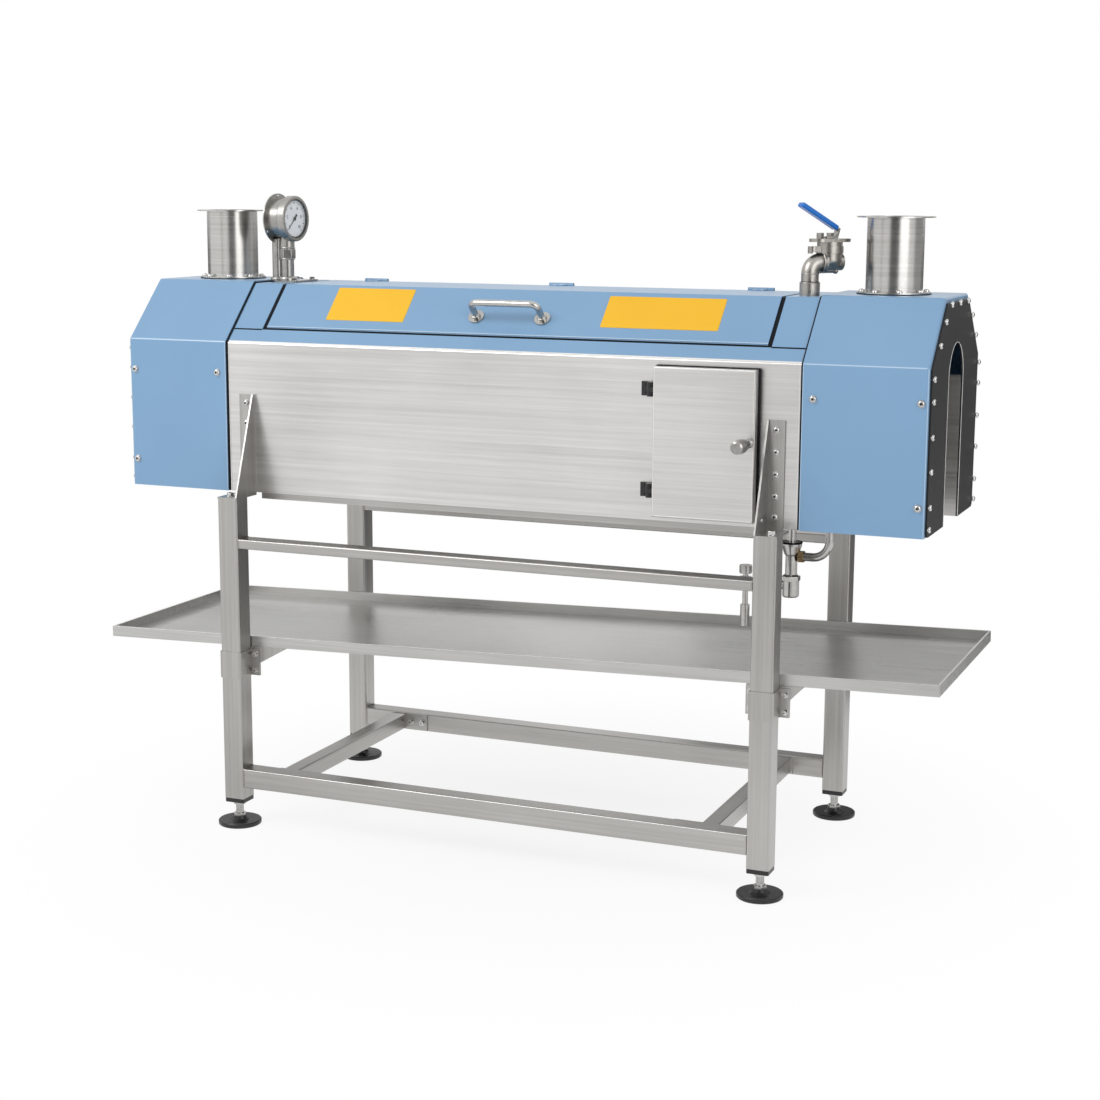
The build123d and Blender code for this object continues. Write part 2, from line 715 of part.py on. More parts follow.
def valve_lever():
    # A bent flat bar on the stem with a plastic sleeve, drawn in the plane along the flow.
    angle, rise = radians(flow_angle), radians(lever_rise_angle)
    low_z = plate_z + plate_t + lever_lift
    heel = (lever_heel, low_z + lever_heel_rise)
    tip = (heel[0] - lever_length * cos(rise), heel[1] + lever_length * sin(rise))
    line = [(-lever_hub, low_z), (lever_bend, low_z), heel, tip]
    side = Plane(origin=(stem_x, stem_y, 0), x_dir=(cos(angle), sin(angle), 0),
                 z_dir=(sin(angle), -cos(angle), 0))
    bar = extrude(side * make_face(Polyline(*strip_outline(line, lever_t), close=True)),
                  amount=lever_width / 2, both=True)
    bar -= rod((stem_x, stem_y, low_z - 1), (stem_x, stem_y, low_z + lever_t + 1), stem_rod + pin_clearance)
    inward = lever_t / 2
    start = (heel[0] - grip_clear * cos(rise) - inward * sin(rise),
             heel[1] + grip_clear * sin(rise) - inward * cos(rise))
    grip_start = side.from_local_coords((start[0], start[1], 0))
    across = (-sin(angle), cos(angle), 0)
    pointing = (-cos(angle) * cos(rise), -sin(angle) * cos(rise), sin(rise))
    end_plane = Plane(origin=grip_start, x_dir=across, z_dir=pointing)
    outline = RectangleRounded(grip_width, grip_t, (grip_t - grip_flat) / 2)
    grip = extrude(end_plane * outline, amount=lever_length - grip_clear + inward)
    save("valve_lever", bar - grip)
    save("lever_grip", grip)


def upright_tube(x, y, half, z0, z1):
    # A square bar with rounded upright corners.
    bar = block(x - half, x + half, y - half, y + half, z0, z1)
    return fillet(bar.edges().filter_by(Axis.Z), leg_corner)


def legs():
    for name, (sx, sy) in zip(leg_names, corners):
        x, y = sx * leg_x, sy * leg_y
        outside = upright_tube(x, y, half_leg, leg_bottom_z, leg_top_z)
        hollow = block(x - half_leg + leg_wall, x + half_leg - leg_wall, y - half_leg + leg_wall,
                       y + half_leg - leg_wall, leg_bottom_z - 1, leg_top_z - leg_wall)
        save(name, outside - hollow)


def feet():
    caps, spindles, pads = [], [], []
    side = half_leg - cap_margin
    nut_z = leg_bottom_z - cap_height - nut_height
    for sx, sy in corners:
        x, y = sx * leg_x, sy * leg_y
        caps.append(upright_tube(x, y, side, leg_bottom_z - cap_height, leg_bottom_z))
        spindle = rod((x, y, pad_height), (x, y, leg_bottom_z - cap_height), spindle_radius)
        spindle += Pos(x, y, nut_z) * extrude(RegularPolygon(nut_radius, 6), amount=nut_height)
        spindle += Pos(x, y, pad_height) * extrude(RegularPolygon(nut_radius, 6), amount=pad_nut_height)
        spindles.append(spindle)
        pads.append(Pos(x, y, 0) * foot_pad())
    save("leg_caps", solids_of(*caps))
    save("foot_spindles", solids_of(*spindles))
    save("foot_pads", solids_of(*pads))


def foot_pad():
    # A dished round pad with a raised rim and a hub.
    points = [(0, 0), (pad_radius - pad_edge, 0), (pad_radius, pad_edge),
              (pad_radius, pad_edge_height - pad_edge), (pad_radius - pad_edge, pad_edge_height),
              (pad_radius - 3 * pad_edge, pad_edge_height),
              (pad_hub_radius + 3 * pad_edge, pad_edge_height - pad_edge),
              (pad_hub_radius, pad_edge_height + pad_edge), (pad_hub_radius - pad_edge, pad_height),
              (0, pad_height)]
    return revolve(Plane.XZ * make_face(Polyline(*points, close=True)), Axis.Z)


def box_tube_x(x0, x1, y, depth, z, height):
    # A rectangular tube along X, open at its ends.
    outside = block(x0, x1, y - depth / 2, y + depth / 2, z, z + height)
    outside = fillet(outside.edges().filter_by(Axis.X), rail_corner)
    hollow = block(x0 - 1, x1 + 1, y - depth / 2 + leg_wall, y + depth / 2 - leg_wall, z + leg_wall,
                   z + height - leg_wall)
    return outside - hollow


def rails():
    end_x = leg_x - half_leg
    for name, z, height in (("lower_rails", lower_rail_z, lower_rail_height),
                            ("upper_rails", upper_rail_z, upper_rail_height)):
        pair = [box_tube_x(-end_x, end_x, side * leg_y, rail_depth, z, height) for side in (-1, 1)]
        save(name, solids_of(*pair))


def cross_members():
    # Tubes between the lower rails, with bolted end plates that reach towards the middle.
    z0 = lower_rail_z + lower_rail_height - cross_height - cross_drop
    face_y = leg_y - rail_depth / 2
    pieces = []
    for side in (-1, 1):
        x = side * cross_pitch_x / 2
        bar = block(x - cross_width / 2, x + cross_width / 2, -face_y, face_y, z0, z0 + cross_height)
        bar = fillet(bar.edges().filter_by(Axis.Y), rail_corner)
        bar -= block(x - cross_width / 2 + leg_wall, x + cross_width / 2 - leg_wall, -face_y - 1, face_y + 1,
                     z0 + leg_wall, z0 + cross_height - leg_wall)
        x0, x1 = sorted((x + side * (cross_width / 2 + cross_plate_lap),
                         x - side * (cross_width / 2 + cross_plate_reach)))
        for end in (-1, 1):
            y0, y1 = sorted((end * face_y, end * (face_y - cross_plate_t)))
            bar += block(x0, x1, y0, y1, z0 - cross_plate_rise, z0 + cross_height + cross_plate_rise)
        pieces.append(bar)
    save("cross_members", solids_of(*pieces))


def tray_tilt():
    return Pos(0, 0, tray_centre_z - tray_rim / 2) * Rot(Y=-tray_slope)


def tray_under(x):
    # Height of the tray's underside at x.
    slope = radians(tray_slope)
    return tray_centre_z - tray_rim / 2 + x * tan(slope) - tray_rim / 2 / cos(slope)


def drip_tray():
    # A shallow folded pan that falls towards the left end.
    end, side, low, high = tray_length / 2, tray_half_y, -tray_rim / 2, tray_rim / 2
    pan = block(-end, end, -side, side, low, high)
    pan -= block(-end + tray_sheet, end - tray_sheet, -side + tray_sheet, side - tray_sheet,
                 low + tray_sheet, high + 1)
    save("drip_tray", tray_tilt() * pan)


def tray_brackets():
    # Clamps round the legs that carry the tray on short shelves.
    pieces = [tray_bracket(-leg_x, clamp_web), tray_bracket(leg_x, clamp_web * clamp_web_share)]
    save("tray_brackets", solids_of(*pieces, *[mirror(piece, about=Plane.XZ) for piece in pieces]))


def tray_bracket(x, reach):
    # A collar on the front leg at x, with ears, a web that reaches towards +X and a shelf.
    high = tray_under(x) - clamp_drop
    low = high - clamp_height
    out_y, in_y = -(leg_y + half_leg), -(leg_y - half_leg)
    side = half_leg + clamp_t
    ear_x = side + clamp_ear
    collar = block(x - side, x + side, out_y - clamp_t, in_y, low, high)
    front_edges = collar.edges().filter_by(Axis.Z).group_by(Axis.Y)[0]
    collar = fillet(front_edges, leg_corner)
    collar -= block(x - half_leg, x + half_leg, out_y, in_y + 1, low - 1, high + 1)
    ears = block(x - ear_x, x + ear_x, in_y - clamp_t, in_y, low, high)
    ears -= block(x - half_leg, x + half_leg, in_y - clamp_t - 1, in_y + 1, low - 1, high + 1)
    tip_x = x + ear_x + reach
    left_x = x - ear_x
    web_low = tray_under(x + ear_x) - min(reach, clamp_web_height)
    points = [(left_x, tray_under(left_x)), (tip_x, tray_under(tip_x)), (x + ear_x, web_low),
              (x + ear_x, low), (left_x, low)]
    plate = prism_y(points, in_y, in_y + clamp_plate_t)
    shelf = block(left_x + clamp_t, x + ear_x, in_y, in_y + clamp_shelf,
                  -tray_rim / 2 - clamp_plate_t, -tray_rim / 2)
    return collar + ears + plate + tray_tilt() * shelf


def drain():
    # Condensate drain under the right end: a trap, its side branch and a small hand valve.
    x, y, top = drain_x, drain_y, housing_bottom_z
    vx = x - drain_branch
    trap = rod((x, y, top), (x, y, drain_bell_z), drain_pipe)
    trap += Pos(x, y, drain_bell_z) * trap_body()
    branch = rod((x, y, branch_z), (vx, y, branch_z), drain_pipe)
    save("condensate_trap", trap + branch)
    valve = rod((vx, y, branch_z - core_down), (vx, y, branch_z + core_up), valve_core)
    valve += rod((vx, y, pot_z), (vx, y, knob_low_z), valve_neck)
    valve += rod((vx, y, knob_low_z), (vx, y, knob_low_z + hand_knob_height), valve_core)
    valve += rod((vx, y, pot_z), (vx, y, pot_z + pot_height), valve_pot)
    save("drain_valve", valve - branch)


def trap_body():
    # Turned body, from its top down: bell, taper, waist and sump with a chamfered foot.
    waist, sump = drain_body - waist_step, drain_body + pot_step
    steps = [(drain_bell, bell_height), (drain_body, bell_taper), (waist, body_taper), (waist, waist_height),
             (sump, body_taper), (sump, sump_height), (sump - pot_step, sump_chamfer)]
    points = [(0, 0), (drain_bell, 0)]
    for radius, down in steps:
        points.append((radius, points[-1][1] - down))
    points.append((0, points[-1][1]))
    return revolve(Plane.XZ * make_face(Polyline(*points, close=True)), Axis.Z)


def bypass():
    x, y = drain_x, drain_y
    start = (x + drain_body, y, port_z)
    corner = (x + bypass_reach, y, port_z)
    end = (x + bypass_reach, y, housing_bottom_z)
    path = FilletPolyline(start, corner, end, radius=tube_bend)
    pipe = sweep(Plane(origin=path @ 0, z_dir=path % 0) * Circle(drain_tube), path)
    nut_start = Plane(origin=start, x_dir=(0, 1, 0), z_dir=(1, 0, 0))
    nut = nut_start * extrude(RegularPolygon(drain_tube + bypass_nut_wall, 6), amount=bypass_nut_length)
    trap_space = Pos(x, y, drain_bell_z) * trap_body()
    save("bypass_tube", pipe - nut - trap_space)
    save("bypass_nut", nut - pipe - trap_space)


leg_names = ["front_left_leg", "front_right_leg", "rear_right_leg", "rear_left_leg"]

front_panel()
rear_panel()
roof()
lid_frame()
lid()
lid_hinges()
lid_handle()
access_door()
door_hinges()
door_knob()
hoods()
end_plates()
bulkheads()
liner()
floors()
gussets()
stacks()
gauge()
steam_inlet()
steam_valve()
valve_lever()
legs()
feet()
rails()
cross_members()
drip_tray()
tray_brackets()
drain()
bypass()
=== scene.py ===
import math
import random

import bmesh
import bpy
from mathutils import Matrix, Vector


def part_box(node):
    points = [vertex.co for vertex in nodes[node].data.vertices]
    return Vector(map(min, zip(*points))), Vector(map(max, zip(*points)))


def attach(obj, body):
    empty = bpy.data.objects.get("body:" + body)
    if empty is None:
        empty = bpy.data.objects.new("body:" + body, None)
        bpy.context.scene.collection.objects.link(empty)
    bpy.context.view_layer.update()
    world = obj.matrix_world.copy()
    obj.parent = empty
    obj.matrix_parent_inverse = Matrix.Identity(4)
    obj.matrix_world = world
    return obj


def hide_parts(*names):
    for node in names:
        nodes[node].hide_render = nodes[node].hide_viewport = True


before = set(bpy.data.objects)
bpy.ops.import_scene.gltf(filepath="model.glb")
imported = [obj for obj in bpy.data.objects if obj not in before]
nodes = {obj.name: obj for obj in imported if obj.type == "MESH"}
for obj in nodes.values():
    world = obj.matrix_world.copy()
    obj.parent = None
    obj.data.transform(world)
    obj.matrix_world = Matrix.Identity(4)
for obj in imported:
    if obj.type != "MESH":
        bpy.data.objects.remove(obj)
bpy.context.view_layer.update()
random.seed(7)


# Side panels, liner, door, lid frame and drip tray: stainless sheet with a long straight
# grain, which is fine dark and light lines that also blur what the sheet mirrors. Rolling
# and belt grinding leave broad soft patches, and handling leaves a few duller scuffs.
def new_group(name, inputs, outputs):
    group = bpy.data.node_groups.new(name, "ShaderNodeTree")
    for label, kind in inputs:
        group.interface.new_socket(label, in_out="INPUT", socket_type=kind)
    for label in outputs:
        group.interface.new_socket(label, in_out="OUTPUT", socket_type="NodeSocketFloat")
    return group, group.nodes.new("NodeGroupInput"), group.nodes.new("NodeGroupOutput")


def noise(tree, source, scale, detail=2.0, roughness=0.5):
    texture = tree.nodes.new("ShaderNodeTexNoise")
    texture.inputs["Scale"].default_value = scale
    texture.inputs["Detail"].default_value = detail
    texture.inputs["Roughness"].default_value = roughness
    tree.links.new(source, texture.inputs["Vector"])
    return texture.outputs["Fac"]


def spread(tree, source, low, high, out_low=0.0, out_high=1.0):
    # Stretches the values between two limits over a new range, and stops there.
    ranged = tree.nodes.new("ShaderNodeMapRange")
    for socket, value in zip(ranged.inputs[1:5], (low, high, out_low, out_high)):
        socket.default_value = value
    tree.links.new(source, ranged.inputs[0])
    return ranged.outputs[0]


def combine(tree, kind, first, second):
    maths = tree.nodes.new("ShaderNodeMath")
    maths.operation = kind
    for socket, value in zip(maths.inputs, (first, second)):
        if isinstance(value, float):
            socket.default_value = value
        else:
            tree.links.new(value, socket)
    return maths.outputs[0]


def weighted(tree, first, share, second):
    # Two values mixed, the first with the given share.
    low = combine(tree, "MULTIPLY", first, share)
    return combine(tree, "ADD", low, combine(tree, "MULTIPLY", second, 1.0 - share))


def brushed_grain():
    inputs, outputs = [("Stretch", "NodeSocketVector")], ["Lines", "Patches", "Scuffs"]
    tree, given, out = new_group("brushed_grain", inputs, outputs)
    place = tree.nodes.new("ShaderNodeTexCoord").outputs["Object"]
    stretched = tree.nodes.new("ShaderNodeVectorMath")
    stretched.operation = "MULTIPLY"
    tree.links.new(place, stretched.inputs[0])
    tree.links.new(given.outputs["Stretch"], stretched.inputs[1])
    fine = noise(tree, stretched.outputs[0], scale=1.0, detail=3.0, roughness=0.6)
    coarse = noise(tree, stretched.outputs[0], scale=0.10, detail=2.0, roughness=0.5)
    fine_share = 0.45
    lines = spread(tree, weighted(tree, fine, fine_share, coarse), low=0.32, high=0.68)
    patches = spread(tree, noise(tree, place, scale=2.3, detail=3.0), low=0.3, high=0.7)
    scuffs = spread(tree, noise(tree, place, scale=34.0, detail=5.0, roughness=0.7), low=0.62, high=0.72)
    for label, value in zip(outputs, (lines, patches, scuffs)):
        tree.links.new(value, out.inputs[label])
    return tree


grain = brushed_grain()


def new_material(name):
    material = bpy.data.materials.new(name)
    material.use_nodes = True
    tree = material.node_tree
    tree.nodes.clear()
    shader = tree.nodes.new("ShaderNodeBsdfPrincipled")
    tree.links.new(shader.outputs[0], tree.nodes.new("ShaderNodeOutputMaterial").inputs[0])
    return material, tree, shader


def blend_colour(tree, mask, low, high):
    mix = tree.nodes.new("ShaderNodeMix")
    mix.data_type = "RGBA"
    mix.inputs["A"].default_value = (*low, 1)
    mix.inputs["B"].default_value = (*high, 1)
    tree.links.new(mask, mix.inputs["Factor"])
    return mix.outputs["Result"]


def raise_bump(tree, height, distance):
    bump = tree.nodes.new("ShaderNodeBump")
    bump.inputs["Strength"].default_value = 1.0
    bump.inputs["Distance"].default_value = distance
    tree.links.new(height, bump.inputs["Height"])
    return bump.outputs["Normal"]


line_share_of_tone = 0.6
line_share_of_gloss = 0.7
scuff_strength = 0.9


def grained_steel(name, stretch, dark, light, smooth, rough, depth=0.00003):
    material, tree, shader = new_material(name)
    brushed = tree.nodes.new("ShaderNodeGroup")
    brushed.node_tree = grain
    brushed.inputs["Stretch"].default_value = stretch
    lines, patches, scuffs = brushed.outputs
    shade = blend_colour(tree, weighted(tree, lines, line_share_of_tone, patches), dark, light)
    tree.links.new(shade, shader.inputs["Base Color"])
    dull = combine(tree, "MULTIPLY", scuffs, scuff_strength)
    worn = combine(tree, "MAXIMUM", weighted(tree, lines, line_share_of_gloss, patches), dull)
    tree.links.new(spread(tree, worn, 0.0, 1.0, smooth, rough), shader.inputs["Roughness"])
    tree.links.new(raise_bump(tree, lines, depth), shader.inputs["Normal"])
    shader.inputs["Metallic"].default_value = 1.0
    return material


def dress(material, *names):
    for name in names:
        for place in nodes[name].material_slots:
            place.material = material


grain_across = 1500.0
grain_along = 14.0
grain_on_x = (grain_along, grain_across, grain_across)
grain_on_y = (grain_across, grain_along, grain_across)
grain_on_z = (grain_across, grain_across, grain_along)
sheet_steel = grained_steel("sheet_steel", grain_on_x, (0.52, 0.51, 0.495), (0.77, 0.76, 0.745), 0.26, 0.38)
dress(sheet_steel, "front_panel", "rear_panel", "front_liner", "rear_liner", "liner_arch", "cavity_floors",
      "bulkheads", "lid_frame", "access_door")
tray_steel = grained_steel("tray_steel", grain_on_x, (0.40, 0.395, 0.385), (0.62, 0.615, 0.60), 0.24, 0.38)
dress(tray_steel, "drip_tray")


# Stand: square tube legs, rectangular tube rails and the channels under the housing, of
# stainless steel ground along its length to a dull tan grey, with bent plate gussets and
# clamped tray brackets.
stand_finish = ((0.33, 0.32, 0.305), (0.54, 0.53, 0.51), 0.26, 0.40, 0.00004)
upright_steel = grained_steel("upright_steel", grain_on_z, *stand_finish)
dress(upright_steel, "front_left_leg", "front_right_leg", "rear_left_leg", "rear_right_leg",
      "gusset_brackets", "tray_brackets")
rail_steel = grained_steel("rail_steel", grain_on_x, *stand_finish)
dress(rail_steel, "lower_rails", "upper_rails", "bottom_channels")
cross_steel = grained_steel("cross_steel", grain_on_y, *stand_finish)
dress(cross_steel, "cross_members")


# Hoods, roof, lid and lid hinges: folded sheet with a light blue powder coat, baked to a
# satin skin with a very fine orange peel, faint clouds of tone and a little dust.
def powder_skin():
    tree, given, out = new_group("powder_skin", [], ["Peel", "Clouds", "Dust"])
    place = tree.nodes.new("ShaderNodeTexCoord").outputs["Object"]
    peel = noise(tree, place, scale=700.0, detail=2.0)
    clouds = spread(tree, noise(tree, place, scale=3.1, detail=4.0), low=0.3, high=0.7)
    dust = spread(tree, noise(tree, place, scale=55.0, detail=6.0, roughness=0.75), low=0.55, high=0.75)
    for label, value in (("Peel", peel), ("Clouds", clouds), ("Dust", dust)):
        tree.links.new(value, out.inputs[label])
    return tree


powder = powder_skin()


def powder_coat(name, dark, light, smooth, rough, peel, gloss=0.5):
    material, tree, shader = new_material(name)
    coat = tree.nodes.new("ShaderNodeGroup")
    coat.node_tree = powder
    skin, clouds, dust = coat.outputs
    tree.links.new(blend_colour(tree, clouds, dark, light), shader.inputs["Base Color"])
    tree.links.new(spread(tree, dust, 0.0, 1.0, smooth, rough), shader.inputs["Roughness"])
    tree.links.new(raise_bump(tree, skin, peel), shader.inputs["Normal"])
    shader.inputs["Specular IOR Level"].default_value = gloss
    return material


blue_coat = powder_coat("blue_coat", (0.205, 0.365, 0.565), (0.228, 0.398, 0.602), 0.30, 0.42, 0.00005)
dress(blue_coat, "left_hood", "right_hood", "left_roof_band", "right_roof_band", "roof_front_strip",
      "rear_roof_panel", "lid", "lid_hinges", "lid_hinge_leaves")


# End plates: steel plate with a dark grey coat. Hinge blocks, caps and foot pads are moulded
# black plastic, and the lid lies on a black rubber profile.
dark_coat = powder_coat("dark_coat", (0.013, 0.013, 0.014), (0.021, 0.021, 0.022), 0.42, 0.55, 0.00006,
                        0.32)
dress(dark_coat, "left_end_plate", "right_end_plate")
black_plastic = powder_coat("black_plastic", (0.008, 0.008, 0.009), (0.017, 0.017, 0.019), 0.34, 0.50,
                            0.00008)
dress(black_plastic, "leg_caps", "foot_pads", "door_hinges", "door_hinge_arms")
black_rubber = powder_coat("black_rubber", (0.003, 0.004, 0.006), (0.007, 0.008, 0.011), 0.6, 0.8, 0.00012,
                           0.15)
dress(black_rubber, "lid_seal")


# Stacks, handle, spindles and drain tubes: stainless, turned or belt polished smoother than
# the sheet. Gauge, lever and door knob are brushed, the steam inlet and valve are cast and
# tumbled, and one small nut on the drain is brass.
even_grain = (700.0, 700.0, 700.0)
round_grain = (3.0, 3.0, grain_across)
stack_steel = grained_steel("stack_steel", round_grain, (0.42, 0.41, 0.395), (0.62, 0.61, 0.59), 0.20, 0.29,
                            0.00002)
dress(stack_steel, "left_stack", "right_stack")
tube_steel = grained_steel("tube_steel", even_grain, (0.40, 0.39, 0.375), (0.60, 0.59, 0.57), 0.16, 0.28,
                           0.00004)
dress(tube_steel, "condensate_trap", "drain_valve", "bypass_tube", "lid_handle", "foot_spindles")
gauge_steel = grained_steel("gauge_steel", even_grain, (0.27, 0.26, 0.245), (0.45, 0.44, 0.42), 0.22, 0.34,
                            0.00004)
dress(gauge_steel, "pressure_gauge", "gauge_stand", "valve_lever", "door_knob")
cast_steel = grained_steel("cast_steel", even_grain, (0.27, 0.255, 0.235), (0.50, 0.48, 0.45), 0.24, 0.36,
                           0.00014)
dress(cast_steel, "steam_inlet", "steam_valve")
brass = grained_steel("brass", even_grain, (0.28, 0.19, 0.10), (0.46, 0.34, 0.20), 0.20, 0.34, 0.00008)
dress(brass, "bypass_nut")


# Bolts on the end plates: domed heads with a six-sided socket, each on a short sleeve, in a
# row along both sides, both slopes and the top of each plate. The sleeves at the left end
# are lower.
def leave_edit():
    if bpy.context.mode != "OBJECT":
        bpy.ops.object.mode_set(mode="OBJECT")


def choose_none():
    leave_edit()
    bpy.ops.object.select_all(action="DESELECT")


def choose(*objects):
    # Selects these objects and nothing else.
    choose_none()
    for item in objects:
        item.select_set(True)
    bpy.context.view_layer.objects.active = objects[0]


def set_down():
    # Puts a new primitive's size, turn and place into its mesh.
    bpy.ops.object.transform_apply(location=True, rotation=True, scale=True)
    return bpy.context.object


def put(piece, place):
    # Moves a finished mesh to a place, and leaves its object at the origin.
    piece.matrix_world = place
    choose(piece)
    return set_down()


def new_block(size, centre=(0, 0, 0)):
    choose_none()
    bpy.ops.mesh.primitive_cube_add(size=1.0, location=centre, scale=size)
    return set_down()


def new_round(radius, depth, centre=(0, 0, 0), sides=32):
    choose_none()
    bpy.ops.mesh.primitive_cylinder_add(vertices=sides, radius=radius, depth=depth, location=centre)
    return set_down()


def new_ring(radius, thick, place=Matrix(), sides=64):
    # A round bead bent to a ring about its own Z.
    choose_none()
    bpy.ops.mesh.primitive_torus_add(major_radius=radius, minor_radius=thick, major_segments=sides,
                                     minor_segments=10)
    return put(bpy.context.object, place)


def pick_edges(piece, wanted):
    # Goes into edit mode with the edges that pass a test selected.
    choose(piece)
    bpy.ops.object.mode_set(mode="EDIT")
    bpy.ops.mesh.select_mode(type="EDGE")
    bpy.ops.mesh.select_all(action="DESELECT")
    for edge in bmesh.from_edit_mesh(piece.data).edges:
        start, end = edge.verts[0].co, edge.verts[1].co
        if wanted((start + end) / 2, (end - start).normalized()):
            edge.select_set(True)
    bmesh.update_edit_mesh(piece.data)


def pick_faces(piece, wanted):
    # Goes into edit mode with the faces that pass a test selected.
    choose(piece)
    bpy.ops.object.mode_set(mode="EDIT")
    bpy.ops.mesh.select_mode(type="FACE")
    bpy.ops.mesh.select_all(action="DESELECT")
    for face in bmesh.from_edit_mesh(piece.data).faces:
        if wanted(face.calc_center_median(), face.normal):
            face.select_set(True)
    bmesh.update_edit_mesh(piece.data)


def round_edges(piece, offset, segments, wanted=lambda middle, along: True):
    pick_edges(piece, wanted)
    bpy.ops.mesh.bevel(offset=offset, segments=segments, profile=0.5, affect="EDGES")
    leave_edit()
    return piece


touch = 0.0001


def upper(height):
    # A test for the edges round a top face at a height.
    return lambda middle, along: middle.z > height - touch


def level(middle, along):
    return abs(along.z) < 0.5


def upright(middle, along):
    return abs(along.z) > 0.9


def cut_away(piece, cutter):
    # Takes one shape out of another.
    choose(piece)
    taken = piece.modifiers.new("taken", "BOOLEAN")
    taken.operation = "DIFFERENCE"
    taken.object = cutter
    bpy.ops.object.modifier_apply(modifier=taken.name)
    bpy.data.objects.remove(cutter)


def joined(*parts):
    choose(*parts)
    if len(parts) > 1:
        bpy.ops.object.join()
    return bpy.context.object


def copies(model, places, keep=False):
    # Copies a model to each place, each with its own mesh, and joins them.
    made = []
    for place in places:
        copy = model.copy()
        copy.data = model.data.copy()
        bpy.context.scene.collection.objects.link(copy)
        copy.matrix_world = place
        made.append(copy)
    if not keep:
        bpy.data.objects.remove(model)
    choose(*made)
    set_down()
    return joined(*made)


def facing(place, direction, spin=0.0):
    # A place whose own Z points in a direction.
    turn = Vector(direction).to_track_quat("Z", "Y").to_matrix().to_4x4()
    return Matrix.Translation(place) @ turn @ Matrix.Rotation(spin, 4, "Z")


def fit(piece, name, material, body="tunnel", angle=35.0):
    # Names a finished piece, shades it with its broad faces flat, and hangs it on its body.
    choose(piece)
    set_down()
    bpy.ops.object.shade_smooth_by_angle(angle=math.radians(angle))
    flat = piece.modifiers.new("flat", "WEIGHTED_NORMAL")
    flat.keep_sharp = True
    bpy.ops.object.modifier_apply(modifier=flat.name)
    piece.name = name
    piece.data.name = name
    piece.data.materials.clear()
    piece.data.materials.append(material)
    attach(piece, body)
    return piece


def washer(radius, height, lift=0.0):
    ring = new_round(radius, height, (0, 0, lift + height / 2), sides=28)
    return round_edges(ring, height * 0.3, 2, level)


head_dome = 0.9
socket_width, socket_depth = 0.40, 0.6
socket_floor_width, socket_floor_height, socket_floor_lift = 0.38, 0.3, 0.45


def button_head(radius, height, lift):
    # A domed head whose underside stands at a lift, with a socket cut into its top.
    top = lift + height
    head = new_round(radius, height, (0, 0, lift + height / 2), sides=28)
    round_edges(head, height * head_dome, 5, upper(top))
    cut_away(head, new_round(radius * socket_width, height * 2 * socket_depth, (0, 0, top), sides=6))
    return head


screw_steel = grained_steel("screw_steel", even_grain, (0.48, 0.475, 0.465), (0.68, 0.675, 0.665),
                            0.10, 0.22)


def fit_screws(name, head, lift, seat, places):
    # Socket screws on their seats, and black plugs in their sockets as painted shade of the deep recess.
    radius, height = head
    floor_z = lift + height * socket_floor_lift
    floor = new_round(radius * socket_floor_width, height * socket_floor_height, (0, 0, floor_z), sides=6)
    round_edges(floor, radius * 0.03, 1)
    fit(copies(floor, places), name + "_sockets", black_plastic)
    fit(copies(joined(button_head(radius, height, lift), seat), places), name, screw_steel)


slope_low, slope_high = Vector((0, 0.243, 1.120)), Vector((0, 0.112, 1.250))
end_bolt_heights = (0.795, 0.840, 0.9125, 0.982, 1.0535, 1.099)
end_slope_shares = (0.39, 0.74)
end_top_ys = (-0.085, 0.0, 0.085)
end_bolt_margin = 0.012
slope_margin_share, top_margin_share = 0.7, 0.8
end_bolt_head = (0.0066, 0.0046)
post_radius = 0.0042
end_post_heights = {-1: 0.0008, 1: 0.0030}
both_sides = (-1, 1)


def end_bolt_places(side):
    face_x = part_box("right_end_plate")[1].x * side
    side_y = slope_low.y - end_bolt_margin
    spots = [(across * side_y, z) for z in end_bolt_heights for across in both_sides]
    for share in end_slope_shares:
        spot = slope_low.lerp(slope_high, share)
        inward = end_bolt_margin * slope_margin_share
        spots += [(across * (spot.y - inward), spot.z - inward) for across in both_sides]
    spots += [(y, slope_high.z - end_bolt_margin * top_margin_share) for y in end_top_ys]
    return [facing((face_x, y, z), (side, 0, 0), random.uniform(0, 1)) for y, z in spots]


def sleeve_post(height):
    post = new_round(post_radius, height, (0, 0, height / 2), sides=24)
    return round_edges(post, height * 0.15, 2, lambda middle, along: middle.z < touch)


for label, side in (("left", -1), ("right", 1)):
    lift = end_post_heights[side]
    fit_screws(label + "_end_bolts", end_bolt_head, lift, sleeve_post(lift), end_bolt_places(side))


# Hood screws: button heads that hold each hood to the bulkhead and to the end plate's
# returns, three on each side.
thin_washer = 0.0012
hood_screw_head, hood_washer_radius = (0.0074, 0.0044), 0.0084
hood_screw_spots = ((0.704, 1.051), (0.926, 1.051), (0.926, 0.840))
hood_low, hood_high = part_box("right_hood")
hood_places = [facing((side * x, across * hood_high.y, z), (0, across, 0), random.uniform(0, 1))
               for x, z in hood_screw_spots for side in both_sides for across in both_sides]
hood_washer = washer(hood_washer_radius, thin_washer)
fit_screws("hood_screws", hood_screw_head, thin_washer, hood_washer, hood_places)


